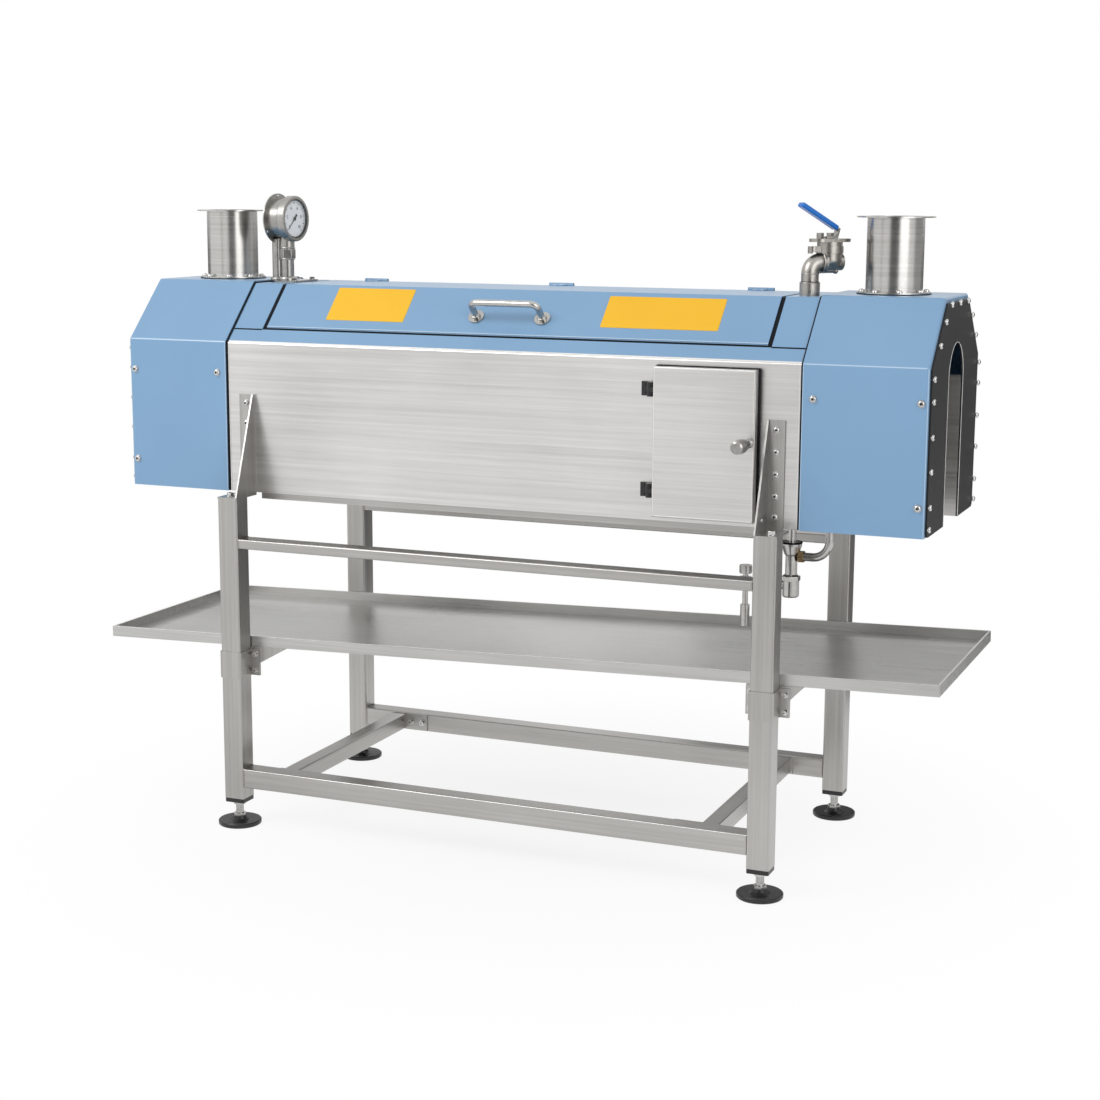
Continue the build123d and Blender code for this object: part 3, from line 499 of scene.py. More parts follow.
# Gusset bolts: a column of five button heads through each bracket's flange into the side
# panel, a hexagon bolt through its foot into the leg, and a small rivet low on the web.
gusset_bolt_head, gusset_washer_radius = (0.0068, 0.0042), 0.0078
gusset_heights = (0.984, 0.938, 0.892, 0.846, 0.803)
gusset_flange_x = 0.629
gusset_face_y = 0.247
leg_centre_x, leg_centre_y = 0.634, 0.307
foot_face_z = 0.776
gusset_places = [facing((side * gusset_flange_x, across * gusset_face_y, z), (0, across, 0),
                        random.uniform(0, 1))
                 for z in gusset_heights for side in both_sides for across in both_sides]
gusset_washer = washer(gusset_washer_radius, thin_washer)
fit_screws("gusset_bolts", gusset_bolt_head, thin_washer, gusset_washer, gusset_places)


def hex_bolt(radius, height, washer_radius, washer_height):
    top = washer_height + height
    head = new_round(radius, height, (0, 0, washer_height + height / 2), sides=6)
    round_edges(head, radius * 0.09, 2, upper(top))
    return joined(head, washer(washer_radius, washer_height))


foot_bolt_x = leg_centre_x + 0.006
foot_bolt_turn = 0.4
foot_bolt = hex_bolt(radius=0.0085, height=0.0065, washer_radius=0.011, washer_height=0.0016)
foot_places = [facing((side * foot_bolt_x, across * leg_centre_y, foot_face_z), (0, 0, 1),
                      foot_bolt_turn * side)
               for side in both_sides for across in both_sides]
fit(copies(foot_bolt, foot_places), "gusset_foot_bolts", screw_steel)


def dome_rivet(radius, height):
    rivet = new_round(radius, height, (0, 0, height / 2), sides=24)
    return round_edges(rivet, height * 0.8, 4, upper(height))


rivet_spot = Vector((0.613, 0.285, 0.800))
rivet_places = [facing((side * rivet_spot.x, across * rivet_spot.y, rivet_spot.z), (side, 0, 0))
                for side in both_sides for across in both_sides]
fit(copies(dome_rivet(radius=0.0045, height=0.0022), rivet_places), "gusset_rivets", screw_steel)


# Stack fixings: eight button heads round each foot flange, which lies on a black gasket.
stack_low, stack_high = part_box("right_stack")
stack_centre_x = (stack_low.x + stack_high.x) / 2
stack_bolt_head, stack_washer_radius = (0.0062, 0.0046), 0.0070
stack_bolt_circle = 0.0685
stack_bolt_turns = [math.radians(22.5 + 45 * step) for step in range(8)]
gasket_radius, gasket_thick, gasket_lift = 0.0772, 0.0012, 0.0010
foot_flange_t = 0.005
flange_top_z = stack_low.z + foot_flange_t
stack_places = []
for side in both_sides:
    for turn in stack_bolt_turns:
        spot = (side * stack_centre_x + stack_bolt_circle * math.cos(turn),
                stack_bolt_circle * math.sin(turn), flange_top_z)
        stack_places.append(facing(spot, (0, 0, 1), turn))
stack_washer = washer(stack_washer_radius, thin_washer)
fit_screws("stack_bolts", stack_bolt_head, thin_washer, stack_washer, stack_places)
gasket_z = stack_low.z + gasket_lift
stack_gaskets = [new_ring(gasket_radius, gasket_thick,
                          Matrix.Translation((side * stack_centre_x, 0, gasket_z)), 96)
                 for side in both_sides]


def fit_rubber(piece, name, body="tunnel"):
    return fit(piece, name, black_rubber, body)


fit_rubber(joined(*stack_gaskets), "stack_gaskets")


# Seams and hems: black strips along the hoods' inner edges on the panels and roof are painted
# shadow of the seam gaps. The sheets' thin folded edges are lighter steel as painted highlight, and
# the folds of hoods and lid are lighter blue as painted highlight.
def edge_bar(start, end, out, width, height):
    # A thin bar with softened edges, from one point to another on a surface that faces out.
    start, end, out = Vector(start), Vector(end), Vector(out).normalized()
    run = end - start
    bar = new_block((run.length, width, height), (0, 0, height / 2))
    round_edges(bar, min(width, height) * 0.35, 2, lambda middle, edge_run: abs(edge_run.x) > 0.9)
    axes = Matrix((run.normalized(), out.cross(run).normalized(), out)).transposed().to_4x4()
    return put(bar, Matrix.Translation((start + end) / 2) @ axes)


panel_low_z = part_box("front_panel")[0].z
slope_run = slope_high - slope_low
slope_out = Vector((0, slope_run.z, -slope_run.y)).normalized()
front_out = Vector((0, -slope_out.y, slope_out.z))
seam_shadow_width, seam_shadow_height, seam_shadow_lap = 0.0050, 0.0026, 0.001
fold_width, fold_height, fold_gap = 0.0022, 0.0007, 0.002
lip_fold_width, lip_fold_height, lip_fold_lift = 0.0030, 0.0004, 0.0008
hem_start = 0.001


def girdle(x, width, height, low_z):
    # Bars round the housing at x: up both sides, over both slopes and across the roof.
    roof_z = slope_high.z
    bars = [edge_bar((x, -slope_high.y, roof_z), (x, slope_high.y, roof_z), (0, 0, 1), width, height)]
    for across in both_sides:
        low = (x, across * slope_low.y, slope_low.z)
        high = (x, across * slope_high.y, slope_high.z)
        bars.append(edge_bar((x, low[1], low_z), low, (0, across, 0), width, height))
        bars.append(edge_bar(low, high, (0, across * slope_out.y, slope_out.z), width, height))
    return joined(*bars)


# The black strips at each hood's inner edge are painted shadow of the gap at the seam.
for label, side in (("left", -1), ("right", 1)):
    seam_shadow_x = side * (hood_low.x - seam_shadow_width / 2 + seam_shadow_lap)
    seam = girdle(seam_shadow_x, seam_shadow_width, seam_shadow_height, panel_low_z + hem_start)
    fit_rubber(seam, label + "_hood_seam_shadow")

# Lighter steel bars along folded edges: the bars catch real light, and their lighter colour is painted
# highlight.
fold_steel_painted_highlight = grained_steel("fold_steel_painted_highlight", even_grain, (0.74, 0.73, 0.71), (0.86, 0.85, 0.84), 0.30, 0.42,
                            0.00002)
fold_end_x = hood_low.x - seam_shadow_width
lip_z = (slope_low.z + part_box("front_panel")[1].z) / 2 + lip_fold_lift
lip_y = slope_low.lerp(slope_high, (lip_z - slope_low.z) / slope_run.z).y
folds = []
for across in both_sides:
    face_y = across * slope_low.y
    for side in both_sides:
        x = side * (fold_end_x - fold_width / 2)
        folds.append(edge_bar((x, face_y, panel_low_z), (x, face_y, slope_low.z - fold_gap),
                              (0, across, 0), fold_width, fold_height))
    folds.append(edge_bar((-fold_end_x, across * lip_y, lip_z), (fold_end_x, across * lip_y, lip_z),
                          (0, across * slope_out.y, slope_out.z), lip_fold_width, lip_fold_height))
fit(joined(*folds), "panel_folds", fold_steel_painted_highlight)

strip_rise = 0.030
strip_top = slope_low.lerp(slope_high, strip_rise / slope_run.z)
lid_low, lid_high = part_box("lid")
lid_gap = 0.010
seam_width, seam_height = 0.0036, 0.0006
seams = []
for side in both_sides:
    inner = (side * (lid_high.x + lid_gap), -strip_top.y, strip_top.z)
    outer = (side * fold_end_x, -strip_top.y, strip_top.z)
    seams.append(edge_bar(inner, outer, front_out, seam_width, seam_height))
fit_rubber(joined(*seams), "roof_seams")

# Lighter blue bars on the lid's lower edge and on the hoods' folds and corners are painted highlight.
blue_painted_highlight = powder_coat("blue_painted_highlight", (0.42, 0.57, 0.73), (0.48, 0.63, 0.79), 0.30, 0.40, 0.00002)
lid_hem_rise, lid_hem_width, lid_hem_height = 0.0036, 0.0026, 0.0006
hem_z = lid_low.z + lid_hem_rise
hem_y = -slope_low.lerp(slope_high, (hem_z - slope_low.z) / slope_run.z).y
lid_hem = edge_bar((-lid_high.x, hem_y, hem_z), (lid_high.x, hem_y, hem_z), front_out,
                   lid_hem_width, lid_hem_height)
fit(lid_hem, "lid_hem", blue_painted_highlight, "lid")

hood_bend = 0.0050
bend_inset = hood_bend * (1 - math.sqrt(0.5)) + 0.0002
fold_sink = 0.0008
hood_lap = 0.0012
hem_t = 0.0004
hood_offset = hood_high.y - slope_low.y
hood_fold_z = slope_low.z + hood_offset * math.tan(math.atan2(slope_out.z, slope_out.y) / 2)
hood_hems = []
for side in both_sides:
    near_x, far_x = side * (hood_low.x + hood_lap), side * (hood_high.x - hood_bend)
    low_z = panel_low_z + hem_start
    for across in both_sides:
        y = across * hood_high.y
        corner = (side * (hood_high.x - bend_inset), across * (hood_high.y - bend_inset))
        upright_hems = ((corner, (side, across, 0), 0.0022), ((near_x, y), (0, across, 0), 0.0016))
        for spot, out, width in upright_hems:
            hood_hems.append(edge_bar((*spot, low_z), (*spot, slope_low.z), out, width, hem_t))
        out = Vector((0, across * (1 + slope_out.y), slope_out.z)).normalized()
        start = Vector((near_x, y, hood_fold_z)) - out * fold_sink
        end = Vector((far_x, y, hood_fold_z)) - out * fold_sink
        hood_hems.append(edge_bar(start, end, out, 0.0026, 0.0003))
fit(joined(*hood_hems), "hood_hems", blue_painted_highlight)


# Door trim: a black gasket lies round its back edge against the panel, and bars of lighter steel
# along its folded front edges are painted highlight.
door_low, door_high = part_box("access_door")
gasket_depth, gasket_t = 0.0095, 0.0020
gasket_y = door_high.y - gasket_depth / 2
door_fold_inset, door_fold_width, door_fold_height = 0.0030, 0.0018, 0.0005
door_corners = [(door_low.x, door_low.z), (door_high.x, door_low.z), (door_high.x, door_high.z),
                (door_low.x, door_high.z)]
gaskets, door_folds = [], []
for (x0, z0), (x1, z1) in zip(door_corners, door_corners[1:] + door_corners[:1]):
    out = Vector((z1 - z0, 0, x0 - x1)).normalized()
    along = Vector((x1 - x0, 0, z1 - z0)).normalized()
    gaskets.append(edge_bar((x0, gasket_y, z0), (x1, gasket_y, z1), out, gasket_depth, gasket_t))
    start = Vector((x0, door_low.y, z0)) + (along - out) * door_fold_inset
    end = Vector((x1, door_low.y, z1)) - (along + out) * door_fold_inset
    door_folds.append(edge_bar(start, end, (0, -1, 0), door_fold_width, door_fold_height))
fit_rubber(joined(*gaskets), "door_gasket", "access_door")
fit(joined(*door_folds), "door_folds", fold_steel_painted_highlight, "access_door")
hinge_plate_x, hinge_plate_y = 0.341, -0.248
door_hinge_zs = (0.844, 1.058)
hinge_screw_step = 0.009
hinge_screws = [facing((hinge_plate_x, hinge_plate_y, z + step * hinge_screw_step), (0, -1, 0))
                for z in door_hinge_zs for step in both_sides]
fit(copies(dome_rivet(radius=0.0028, height=0.0012), hinge_screws), "door_hinge_screws", black_plastic)


# Tray hems: the pan's rim is folded over to a narrow flat edge that catches the light, and its lighter
# steel adds painted highlight.
tray_slope = math.radians(1.5)
tray_middle_z = 0.4495
tray_place = Matrix.Translation((0, 0, tray_middle_z)) @ Matrix.Rotation(-tray_slope, 4, "Y")
tray_half = Vector((0.9918, 0.2798, 0.012))
hem_width, hem_height = 0.0042, 0.0006


x, y, top = tray_half.x - hem_width / 2, tray_half.y - hem_width / 2, tray_half.z
tray_hems = []
for side in both_sides:
    for start, end in (((-x, side * y), (x, side * y)), ((side * x, -y), (side * x, y))):
        tray_hems.append(edge_bar((*start, top), (*end, top), (0, 0, 1), hem_width, hem_height))
fit(put(joined(*tray_hems), tray_place), "tray_hems", fold_steel_painted_highlight)


# Slot hems: the liner's edge is turned out round each arched slot, and its lighter steel is a
# painted highlight line against the dark plate.
slot_half, slot_arch_z, slot_bead = 0.075, 1.083, 0.0008
slot_hem_start, slot_hem_sink = 0.0015, 0.0002


def slot_hem(side):
    low_z = panel_low_z + slot_hem_start
    face_x = side * (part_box("right_end_plate")[1].x - slot_hem_sink)
    arch = new_ring(slot_half, slot_bead, sides=96)
    pick_faces(arch, lambda middle, normal: middle.y < 0)
    bpy.ops.mesh.delete(type="FACE")
    bpy.ops.mesh.select_all(action="SELECT")
    bpy.ops.mesh.fill_holes(sides=16)
    leave_edit()
    stood_up = Matrix.Rotation(math.pi / 2, 4, "Z") @ Matrix.Rotation(math.pi / 2, 4, "X")
    put(arch, Matrix.Translation((face_x, 0, slot_arch_z)) @ stood_up)
    post_z = (slot_arch_z + low_z) / 2
    posts = []
    for across in both_sides:
        post = new_round(slot_bead, slot_arch_z - low_z, (face_x, across * slot_half, post_z), 10)
        posts.append(round_edges(post, slot_bead * 0.6, 2, lambda middle, along: middle.z < low_z + touch))
    return joined(arch, *posts)


fit(joined(slot_hem(-1), slot_hem(1)), "slot_hems", fold_steel_painted_highlight)


# Clamp and rail fixings: two socket screws with washers through each ear of the tray's
# clamps and two through each end plate of the cross members. The rails are welded to the legs.
def socket_bolt(radius, height, washer_radius, washer_height):
    top = washer_height + height
    head = new_round(radius, height, (0, 0, washer_height + height / 2), sides=32)
    round_edges(head, radius * 0.10, 3, upper(top))
    cut_away(head, new_round(radius * 0.55, height, (0, 0, top), sides=6))
    return joined(head, washer(washer_radius, washer_height))


ear_step = 0.0375
ear_face_y = 0.2845
clamp_heights = {-1: (0.405, 0.367), 1: (0.437, 0.400)}
clamp_places = [facing((side * leg_centre_x + step * ear_step, across * ear_face_y, z), (0, across, 0),
                       random.uniform(0, 1))
                for side in both_sides for z in clamp_heights[side] for step in both_sides
                for across in both_sides]
clamp_bolt = socket_bolt(radius=0.0052, height=0.0055, washer_radius=0.0075, washer_height=0.0014)
fit(copies(clamp_bolt, clamp_places), "clamp_bolts", screw_steel)
cross_plate_face_y = 0.280
cross_bolt_xs, cross_bolt_z = (0.446, 0.478), 0.117
cross_places = [facing((side * x, across * cross_plate_face_y, cross_bolt_z), (0, -across, 0),
                       random.uniform(0, 1))
                for side in both_sides for x in cross_bolt_xs for across in both_sides]
cross_bolt = socket_bolt(radius=0.0060, height=0.0060, washer_radius=0.0082, washer_height=0.0014)
fit(copies(cross_bolt, cross_places), "cross_plate_bolts", screw_steel)


def rail_welds(name):
    # Beads round three sides of each rail's end where it meets the leg.
    low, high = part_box(name)
    depth, corner, width, height = 0.046, 0.003, 0.0030, 0.0007
    beads = []
    for side in both_sides:
        x = side * (high.x - width / 2)
        for across in both_sides:
            outer, inner = across * high.y, across * (high.y - depth)
            for y, out in ((outer, (0, across, 0)), (inner, (0, -across, 0))):
                beads.append(edge_bar((x, y, low.z + corner), (x, y, high.z - corner), out, width, height))
            start, end = (x, outer - across * corner, high.z), (x, inner + across * corner, high.z)
            beads.append(edge_bar(start, end, (0, 0, 1), width, height))
    return joined(*beads)


fit(joined(rail_welds("lower_rails"), rail_welds("upper_rails")), "rail_welds", cast_steel)


# Name plates on the lid: two thin yellow enamelled plates, stuck flat on the slope. They are
# bare, with rounded corners. The bow handle stands on turned collars, and screws hold the
# hinge leaves.
plate_t = 0.0009
plate_corner = 0.0032
plate_middle_z = 1.2095
slope_angle = math.atan2(slope_run.z, -slope_run.y)
plate_yellow = powder_coat("plate_yellow", (0.90, 0.48, 0.008), (0.94, 0.54, 0.015), 0.28, 0.38, 0.00002)


def slope_place(x, z, lift=0.0):
    # A place on the front slope with its own Y up the slope and Z away from it.
    share = (z - slope_low.z) / slope_run.z
    spot = slope_low.lerp(slope_high, share)
    out = Vector((0, -math.sin(slope_angle), math.cos(slope_angle)))
    return Matrix.Translation(Vector((x, -spot.y, z)) + out * lift) @ Matrix.Rotation(slope_angle, 4, "X")


def lid_plate(name, left_x, right_x, width):
    plate = new_block((right_x - left_x, width, plate_t), (0, 0, plate_t / 2))
    round_edges(plate, plate_corner, 6, upright)
    round_edges(plate, plate_t * 0.4, 2, lambda middle, along: middle.z > plate_t * 0.9)
    put(plate, slope_place((left_x + right_x) / 2, plate_middle_z))
    fit(plate, name, plate_yellow, "lid")


lid_plate("left_lid_plate", left_x=-0.452, right_x=-0.257, width=0.098)
lid_plate("right_lid_plate", left_x=0.213, right_x=0.478, width=0.090)

handle_foot_z, handle_foot_xs, rosette_t = 1.1902, (-0.083, 0.075), 0.004
collar_radius, collar_height, collar_soft = 0.0105, 0.007, 0.0022
collar = new_round(collar_radius, collar_height, (0, 0, collar_height / 2))
round_edges(collar, collar_soft, 4, upper(collar_height))
collar_places = [slope_place(x, handle_foot_z, rosette_t) for x in handle_foot_xs]
fit(copies(collar, collar_places), "handle_collars", tube_steel, "lid")

lid_hinge_xs = (-0.480, 0.0, 0.480)
leaf_t = 0.002
leaf_screw_y, leaf_screw_step = 0.098, 0.009
rear_screw_share, rear_screw_step = 0.11, 0.022
leaf_places = [facing((x + step * leaf_screw_step, leaf_screw_y, slope_high.z + leaf_t), (0, 0, 1))
               for x in lid_hinge_xs for step in both_sides]
hinge_screw = dome_rivet(radius=0.0030, height=0.0012)
fit(copies(hinge_screw, leaf_places, keep=True), "hinge_leaf_screws", screw_steel, "lid")
rear_spot = slope_high.lerp(slope_low, rear_screw_share) + slope_out * leaf_t
rear_places = [facing((x + step * rear_screw_step, rear_spot.y, rear_spot.z), slope_out)
               for x in lid_hinge_xs for step in both_sides]
fit(copies(hinge_screw, rear_places), "hinge_screws", screw_steel)


# Gauge dial: a white enamelled disc in the bezel with printed black lines and numbers, a
# black needle on a boss, a black ring round the dial's edge as painted shade, and a flat glass held
# by the bezel.
gauge_centre = Vector((-0.634, -0.038, 1.398))
gauge_turn = math.radians(6.0)
gauge_right = Vector((math.sin(gauge_turn), math.cos(gauge_turn), 0))
gauge_out = Vector((math.cos(gauge_turn), -math.sin(gauge_turn), 0))
dial_radius = 0.0446
dial_set_back = 0.0201
glass_set_back = 0.0252
dial_front = 0.0012
dial_soft = 0.0003
ink_t = 0.00025
scale_start = math.radians(225)
scale_sweep = math.radians(270)
dial_axes = Matrix((gauge_right, Vector((0, 0, 1)), gauge_out)).transposed().to_4x4()
dial_place = Matrix.Translation(gauge_centre + gauge_out * dial_set_back) @ dial_axes
dial_white = powder_coat("dial_white", (0.92, 0.925, 0.93), (0.95, 0.955, 0.96), 0.35, 0.45, 0.00001)
ink_black = powder_coat("ink_black", (0.008, 0.008, 0.010), (0.014, 0.014, 0.016), 0.35, 0.45, 0.00001)


def fit_on_dial(piece, name, material, depth=0.0):
    return fit(put(piece, dial_place @ Matrix.Translation((0, 0, depth))), name, material, "tunnel")


dial = new_round(dial_radius, dial_front, (0, 0, dial_front / 2), sides=72)
round_edges(dial, dial_soft, 2, upper(dial_front))
fit_on_dial(dial, "dial_face", dial_white)


def dial_mark(angle, inner, outer, width):
    mark = new_block((outer - inner, width, ink_t), ((inner + outer) / 2, 0, dial_front + ink_t / 2))
    round_edges(mark, ink_t * 0.3, 1, lambda middle, along: middle.z > dial_front + ink_t * 0.9)
    return put(mark, Matrix.Rotation(angle, 4, "Z"))


def dial_number(text, angle, radius, height):
    choose_none()
    bpy.ops.object.text_add(location=(0, 0, 0))
    label = bpy.context.object
    label.data.body = text
    label.data.size = height
    label.data.align_x = "CENTER"
    label.data.align_y = "CENTER"
    label.data.extrude = ink_t / 2
    bpy.ops.object.convert(target="MESH")
    spot = (radius * math.cos(angle), radius * math.sin(angle), dial_front + ink_t / 2)
    return put(bpy.context.object, Matrix.Translation(spot))


scale_steps, major_every, number_every = 50, 5, 10
mark_end, number_radius, number_height = 0.0404, 0.0268, 0.0115
major_start, major_width = 0.0340, 0.0014
minor_start, minor_width = 0.0366, 0.0008
marks = []
for step in range(scale_steps + 1):
    angle = scale_start - scale_sweep * step / scale_steps
    start, width = (minor_start, minor_width) if step % major_every else (major_start, major_width)
    marks.append(dial_mark(angle, start, mark_end, width))
    if step % number_every == 0:
        marks.append(dial_number(str(step // major_every), angle, number_radius, number_height))
fit_on_dial(joined(*marks), "dial_scale", ink_black)


def gauge_needle():
    # A blade that narrows to its tip, a tail that widens, and a round boss over the pin.
    reach, tail_reach, thick, rise = 0.034, 0.013, 0.0006, 0.0014
    boss_radius, boss_height, boss_z, boss_soft = 0.0045, 0.0022, 0.0006, 0.0008
    blade = new_block((reach, 0.0026, thick), (reach / 2, 0, 0))
    pick_faces(blade, lambda middle, normal: normal.x > 0.9)
    bpy.ops.transform.resize(value=(1, 0.25, 1))
    tail = new_block((tail_reach, 0.0042, thick), (-tail_reach / 2, 0, 0))
    pick_faces(tail, lambda middle, normal: normal.x < -0.9)
    bpy.ops.transform.resize(value=(1, 1.5, 1))
    boss = new_round(boss_radius, boss_height, (0, 0, boss_z), sides=32)
    round_edges(boss, boss_soft, 3, upper(boss_z + boss_height / 2))
    turned = Matrix.Translation((0, 0, dial_front + rise)) @ Matrix.Rotation(scale_start, 4, "Z")
    return put(joined(blade, tail, boss), turned)


fit_on_dial(gauge_needle(), "dial_needle", ink_black)
# The black ring at the dial's edge is painted shade of the bezel's rim.
ring_radius, ring_thick, ring_z = 0.0434, 0.0015, 0.0034
fit_on_dial(new_ring(ring_radius, ring_thick, sides=96), "dial_ring", black_rubber, ring_z)


gauge_glass, tree, shader = new_material("gauge_glass")
coat = tree.nodes.new("ShaderNodeGroup")
coat.node_tree = powder
smear = spread(tree, coat.outputs["Dust"], low=0.0, high=1.0, out_low=0.02, out_high=0.08)
tree.links.new(smear, shader.inputs["Roughness"])
shader.inputs["Base Color"].default_value = (0.95, 0.97, 0.98, 1)
shader.inputs["Alpha"].default_value = 0.05
glass_t = 0.0014
glass = new_round(dial_radius, glass_t, (0, 0, glass_t / 2), sides=72)
round_edges(glass, dial_soft, 2, level)
fit_on_dial(glass, "gauge_glass", gauge_glass, glass_set_back - dial_set_back)
glass.visible_shadow = False


# Gauge fittings: three screws in its back flange, a nut and turned beads on the stem, flared
# feet where stem and prop stand on the base plate, and the plate's bolts.
flange_screw_circle, flange_screw_degrees = 0.0520, (92, 215, 335)
flange_front = -0.024
flange_screws = []
for degrees in flange_screw_degrees:
    angle = math.radians(degrees)
    spot = dial_axes @ (Vector((math.cos(angle), math.sin(angle), 0)) * flange_screw_circle)
    flange_screws.append(facing(gauge_centre + gauge_out * flange_front + spot, gauge_out))
flange_screw = dome_rivet(radius=0.0036, height=0.0020)
fit(copies(flange_screw, flange_screws), "gauge_flange_screws", screw_steel)

plate_top_z = 1.254
prop_step = 0.026
stem_nut_z, stem_bead_zs = 1.317, (1.3045, 1.3305)


def stem_foot(x, radius, height, soft):
    foot = new_round(radius, height, (x, gauge_centre.y, plate_top_z + height / 2))
    return round_edges(foot, soft, 5, upper(plate_top_z + height))


def stem_fittings():
    x, y = gauge_centre.x, gauge_centre.y
    nut = round_edges(new_round(0.0195, 0.022, (x, y, stem_nut_z), sides=6), 0.0018, 3)
    beads = [new_ring(0.0166, 0.0018, Matrix.Translation((x, y, z))) for z in stem_bead_zs]
    feet = [stem_foot(x, radius=0.0220, height=0.010, soft=0.0060),
            stem_foot(x - prop_step, radius=0.0180, height=0.008, soft=0.0042)]
    return joined(nut, *beads, *feet)


fit(stem_fittings(), "gauge_stem_fittings", gauge_steel)
plate_bolt_spots = ((-0.022, 0.042), (0.020, 0.042), (0.0235, -0.0475))
plate_bolt_places = [Matrix.Translation((gauge_centre.x + step, y, plate_top_z))
                     for step, y in plate_bolt_spots]
plate_bolt = hex_bolt(radius=0.0058, height=0.0050, washer_radius=0.0072, washer_height=0.0012)
fit(copies(plate_bolt, plate_bolt_places), "gauge_plate_bolts", screw_steel)


# Inlet and valve fittings: a bead and a dark joint line on the coupling, a weld on the elbow,
# the union's turned edges, and a small plugged boss under the valve's bowl.
stem_place = Vector((0.67053, -0.02247, 1.3695))
lever_flow = math.radians(45.0)
flow = Vector((math.cos(lever_flow), math.sin(lever_flow), 0))
flow_z = 1.320
inlet_x, inlet_y = 0.638, -0.055


def along_flow(distance, z):
    return Vector((stem_place.x, stem_place.y, z)) + flow * distance


def pipe_ring(radius, thick, z):
    return new_ring(radius, thick, Matrix.Translation((inlet_x, inlet_y, z)))


coupling_bead = pipe_ring(radius=0.0204, thick=0.0016, z=1.2768)
elbow_weld = pipe_ring(radius=0.0183, thick=0.0010, z=1.2960)
union_radius, union_thick, union_edge_steps = 0.0226, 0.0014, (-0.0220, -0.0140)
union_edges = [new_ring(union_radius, union_thick, facing(along_flow(step, flow_z), flow))
               for step in union_edge_steps]
boss_z, boss_step, plug_step = 1.3035, -0.002, 0.015
boss = put(round_edges(new_round(0.0068, 0.030), 0.0010, 2), facing(along_flow(boss_step, boss_z), flow))
plug = round_edges(new_round(0.0088, 0.007, sides=6), 0.0008, 2)
put(plug, facing(along_flow(plug_step, boss_z), flow))
fit(joined(coupling_bead, elbow_weld, *union_edges, boss, plug), "valve_fittings", cast_steel)
fit_rubber(pipe_ring(radius=0.0188, thick=0.0008, z=1.2790), "coupling_joint")


# Lever sleeve: dipped blue vinyl over the flat bar, thick and soft at its edges and closed
# at its end.
lever_rise = math.radians(30.0)
lever_heel = Vector((0.020, 0, 0.020))
sleeve_size = Vector((0.0105, 0.024, 0.100))
bar_half, sleeve_start, sleeve_end_soft = 0.002, 0.006, 0.0030
vinyl_blue = powder_coat("vinyl_blue", (0.004, 0.150, 0.58), (0.007, 0.178, 0.63), 0.24, 0.32, 0.000008)


thick, width, length = sleeve_size
sleeve = new_block(sleeve_size, (0, 0, length / 2))
round_edges(sleeve, thick * 0.42, 6, upright)
round_edges(sleeve, sleeve_end_soft, 5, lambda middle, along: not touch <= middle.z <= length - touch)
upward = Vector((-math.cos(lever_rise), 0, math.sin(lever_rise)))
under = Vector((-math.sin(lever_rise), 0, -math.cos(lever_rise)))
seat = lever_heel + upward * sleeve_start + under * bar_half
lean = Matrix.Rotation(-(math.pi / 2 - lever_rise), 4, "Y")
along_lever = Matrix.Rotation(lever_flow, 4, "Z") @ Matrix.Translation(seat) @ lean
put(sleeve, Matrix.Translation(stem_place) @ along_lever)
fit(sleeve, "lever_sleeve", vinyl_blue, "valve_lever", 50.0)
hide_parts("lever_grip")


# Spindle threads: a rolled thread on each levelling spindle, as a stack of fine ridges
# between the pad's nut and the cap's nut.
def thread_ridges(radius, pitch, low_z, high_z, sides=28):
    core, ridge_share = 0.93, 0.72
    rod = new_round(radius * core, high_z - low_z, (0, 0, (low_z + high_z) / 2), sides)
    ridges = [round_edges(rod, 0.0002, 1)]
    for turn in range(int((high_z - low_z) / pitch)):
        ridge = new_round(radius, pitch * ridge_share, (0, 0, low_z + pitch * (turn + 0.5)), sides)
        pick_faces(ridge, lambda middle, normal: abs(normal.z) > 0.9)
        bpy.ops.transform.resize(value=(core, core, 1))
        ridges.append(ridge)
    return joined(*ridges)


thread_places = [Matrix.Translation((x * leg_centre_x, y * leg_centre_y, 0))
                 for x in both_sides for y in both_sides]
thread = thread_ridges(radius=0.0098, pitch=0.0022, low_z=0.0262, high_z=0.0478)
fit(copies(thread, thread_places), "spindle_threads", screw_steel)


# Drain fittings: a black ring in the mouth of the trap's bell, a six-sided collar on its
# sump, and a knurled rim on the small valve's hand knob.
drain_x, drain_y, drain_valve_x = 0.640, -0.150, 0.540
bell_mouth_z, sump_collar_z, knob_z = 0.7352, 0.6580, 0.670
bell_radius, bell_ring_thick = 0.0212, 0.0022
bell_ring = new_ring(bell_radius, bell_ring_thick, Matrix.Translation((drain_x, drain_y, bell_mouth_z)))
fit_rubber(bell_ring, "bell_ring")
sump_collar = round_edges(new_round(0.0212, 0.010, (drain_x, drain_y, sump_collar_z), sides=6), 0.0008, 2)
knob_radius, knurls = 0.0132, 18
ridge = round_edges(new_block((0.0016, 0.0016, 0.014), (knob_radius, 0, knob_z)), 0.0004, 1)
knob_middle = Matrix.Translation((drain_valve_x, drain_y, 0))
knurl_places = [knob_middle @ Matrix.Rotation(math.tau * step / knurls, 4, "Z") for step in range(knurls)]
fit(joined(copies(ridge, knurl_places), sump_collar), "drain_fittings", tube_steel)


# Camera: it stands to the right of the machine and looks a little down on it.
azimuth, elevation, roll = math.radians(22.52), math.radians(10.2), math.radians(0.27)
camera_place = (1.77022, -4.21263, 1.46928)
view = bpy.data.cameras.new("view")
view.sensor_width = 36.0
view.lens = 65.66
view.clip_end = 60.0
camera = bpy.data.objects.new("view", view)
camera_stand = Matrix.Translation(camera_place) @ Matrix.Rotation(azimuth, 4, "Z")
camera_tilt = Matrix.Rotation(math.pi / 2 - elevation, 4, "X") @ Matrix.Rotation(roll, 4, "Z")
camera.matrix_world = camera_stand @ camera_tilt
bpy.context.scene.collection.objects.link(camera)
bpy.context.scene.camera = camera


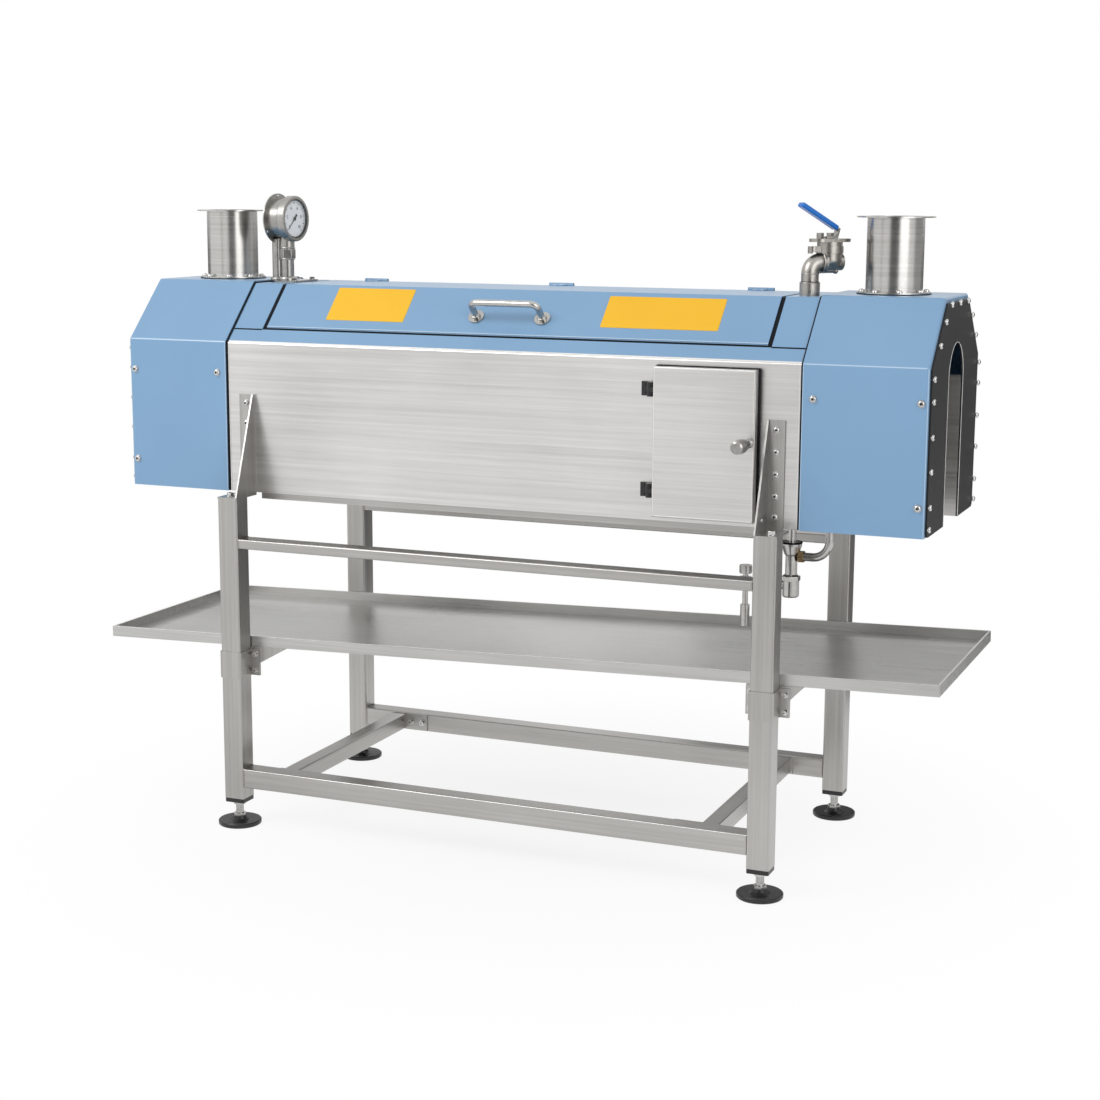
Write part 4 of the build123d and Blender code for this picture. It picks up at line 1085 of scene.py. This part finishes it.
# Studio floor: pale and matt. It keeps the machine's shadow near it, and runs out into the
# white of the background further away.
choose_none()
bpy.ops.mesh.primitive_plane_add(size=60.0, location=(0, 0, -0.0006))
floor = set_down()
floor.name = "studio_floor"
material, tree, shader = new_material("floor_white")
shader.inputs["Base Color"].default_value = (0.90, 0.90, 0.90, 1)
shader.inputs["Roughness"].default_value = 0.9
shader.inputs["Specular IOR Level"].default_value = 0.1
white = tree.nodes.new("ShaderNodeEmission")
distance = tree.nodes.new("ShaderNodeVectorMath")
distance.operation = "LENGTH"
tree.links.new(tree.nodes.new("ShaderNodeTexCoord").outputs["Object"], distance.inputs[0])
rays = tree.nodes.new("ShaderNodeLightPath")
seen = combine(tree, "MAXIMUM", rays.outputs["Is Camera Ray"], rays.outputs["Is Glossy Ray"])
far = spread(tree, distance.outputs["Value"], low=0.2, high=1.3, out_low=0.82, out_high=1.0)
mix = tree.nodes.new("ShaderNodeMixShader")
tree.links.new(combine(tree, "MULTIPLY", far, seen), mix.inputs[0])
tree.links.new(shader.outputs[0], mix.inputs[1])
tree.links.new(white.outputs[0], mix.inputs[2])
tree.links.new(mix.outputs[0], tree.nodes["Material Output"].inputs[0])
floor.data.materials.append(material)


# Studio light: a white surround, one large soft lamp over the left shoulder and a weaker one
# at the right. Grey cloths on stands, seen only in mirrored light, draw the dark bands
# that polished steel needs.
world = bpy.data.worlds.new("surround")
world.use_nodes = True
bpy.context.scene.world = world
tree = world.node_tree
tree.nodes.clear()
rays = tree.nodes.new("ShaderNodeLightPath")
seen = combine(tree, "MAXIMUM", rays.outputs["Is Glossy Ray"], rays.outputs["Is Transmission Ray"])
seen = combine(tree, "MAXIMUM", rays.outputs["Is Camera Ray"], seen)
background = tree.nodes.new("ShaderNodeBackground")
background.inputs["Color"].default_value = (1, 1, 1, 1)
strength = spread(tree, seen, low=0.0, high=1.0, out_low=0.52, out_high=1.0)
tree.links.new(strength, background.inputs["Strength"])
tree.links.new(background.outputs[0], tree.nodes.new("ShaderNodeOutputWorld").inputs[0])


def add_lamp(name, place, aim, size, power):
    data = bpy.data.lights.new(name, "AREA")
    data.energy = power
    data.size = size
    lamp = bpy.data.objects.new(name, data)
    turn = (Vector(aim) - Vector(place)).to_track_quat("-Z", "Y").to_matrix().to_4x4()
    lamp.matrix_world = Matrix.Translation(place) @ turn
    bpy.context.scene.collection.objects.link(lamp)


machine_middle = (0, 0, 0.8)
add_lamp("key_lamp", (-2.6, -3.4, 4.2), machine_middle, 2.6, 125.0)
add_lamp("fill_lamp", (4.0, -3.0, 2.5), machine_middle, 3.0, 55.0)


def grey_cloth(name, start, end, reach, low, high, shade):
    # A cloth between two azimuths, in degrees from +X, at a distance, with an even grey.
    middle, half = math.radians((start + end) / 2), math.radians((end - start) / 2)
    cloth = new_block((0.02, 2 * reach * math.tan(half), high - low), (0, 0, (low + high) / 2))
    round_edges(cloth, 0.005, 2)
    put(cloth, Matrix.Rotation(middle, 4, "Z") @ Matrix.Translation((reach, 0, 0)))
    cloth.name = name
    material, tree, shader = new_material(name)
    shader.inputs["Base Color"].default_value = (0, 0, 0, 1)
    shader.inputs["Roughness"].default_value = 1.0
    shader.inputs["Emission Color"].default_value = (shade, shade, shade, 1)
    shader.inputs["Emission Strength"].default_value = 1.0
    cloth.data.materials.append(material)
    cloth.visible_camera = False
    cloth.visible_diffuse = False
    cloth.visible_shadow = False
    cloth.visible_transmission = False


grey_cloth("cloth_behind_camera", -88, -52, 4.0, -0.5, 2.6, 0.12)
grey_cloth("cloth_front_left", -124, -119, 3.2, 0.9, 1.8, 0.30)
grey_cloth("cloth_right", 3, 43, 4.0, -0.5, 2.2, 0.42)
grey_cloth("cloth_near_back", 42, 98, 1.7, -0.05, 0.95, 0.16)
grey_cloth("cloth_back_right", 45, 110, 5.0, -0.5, 1.31, 0.12)
grey_cloth("cloth_back_left", 114, 178, 5.0, -0.5, 1.31, 0.14)

bpy.context.scene.view_settings.view_transform = "Standard"

leave_edit()
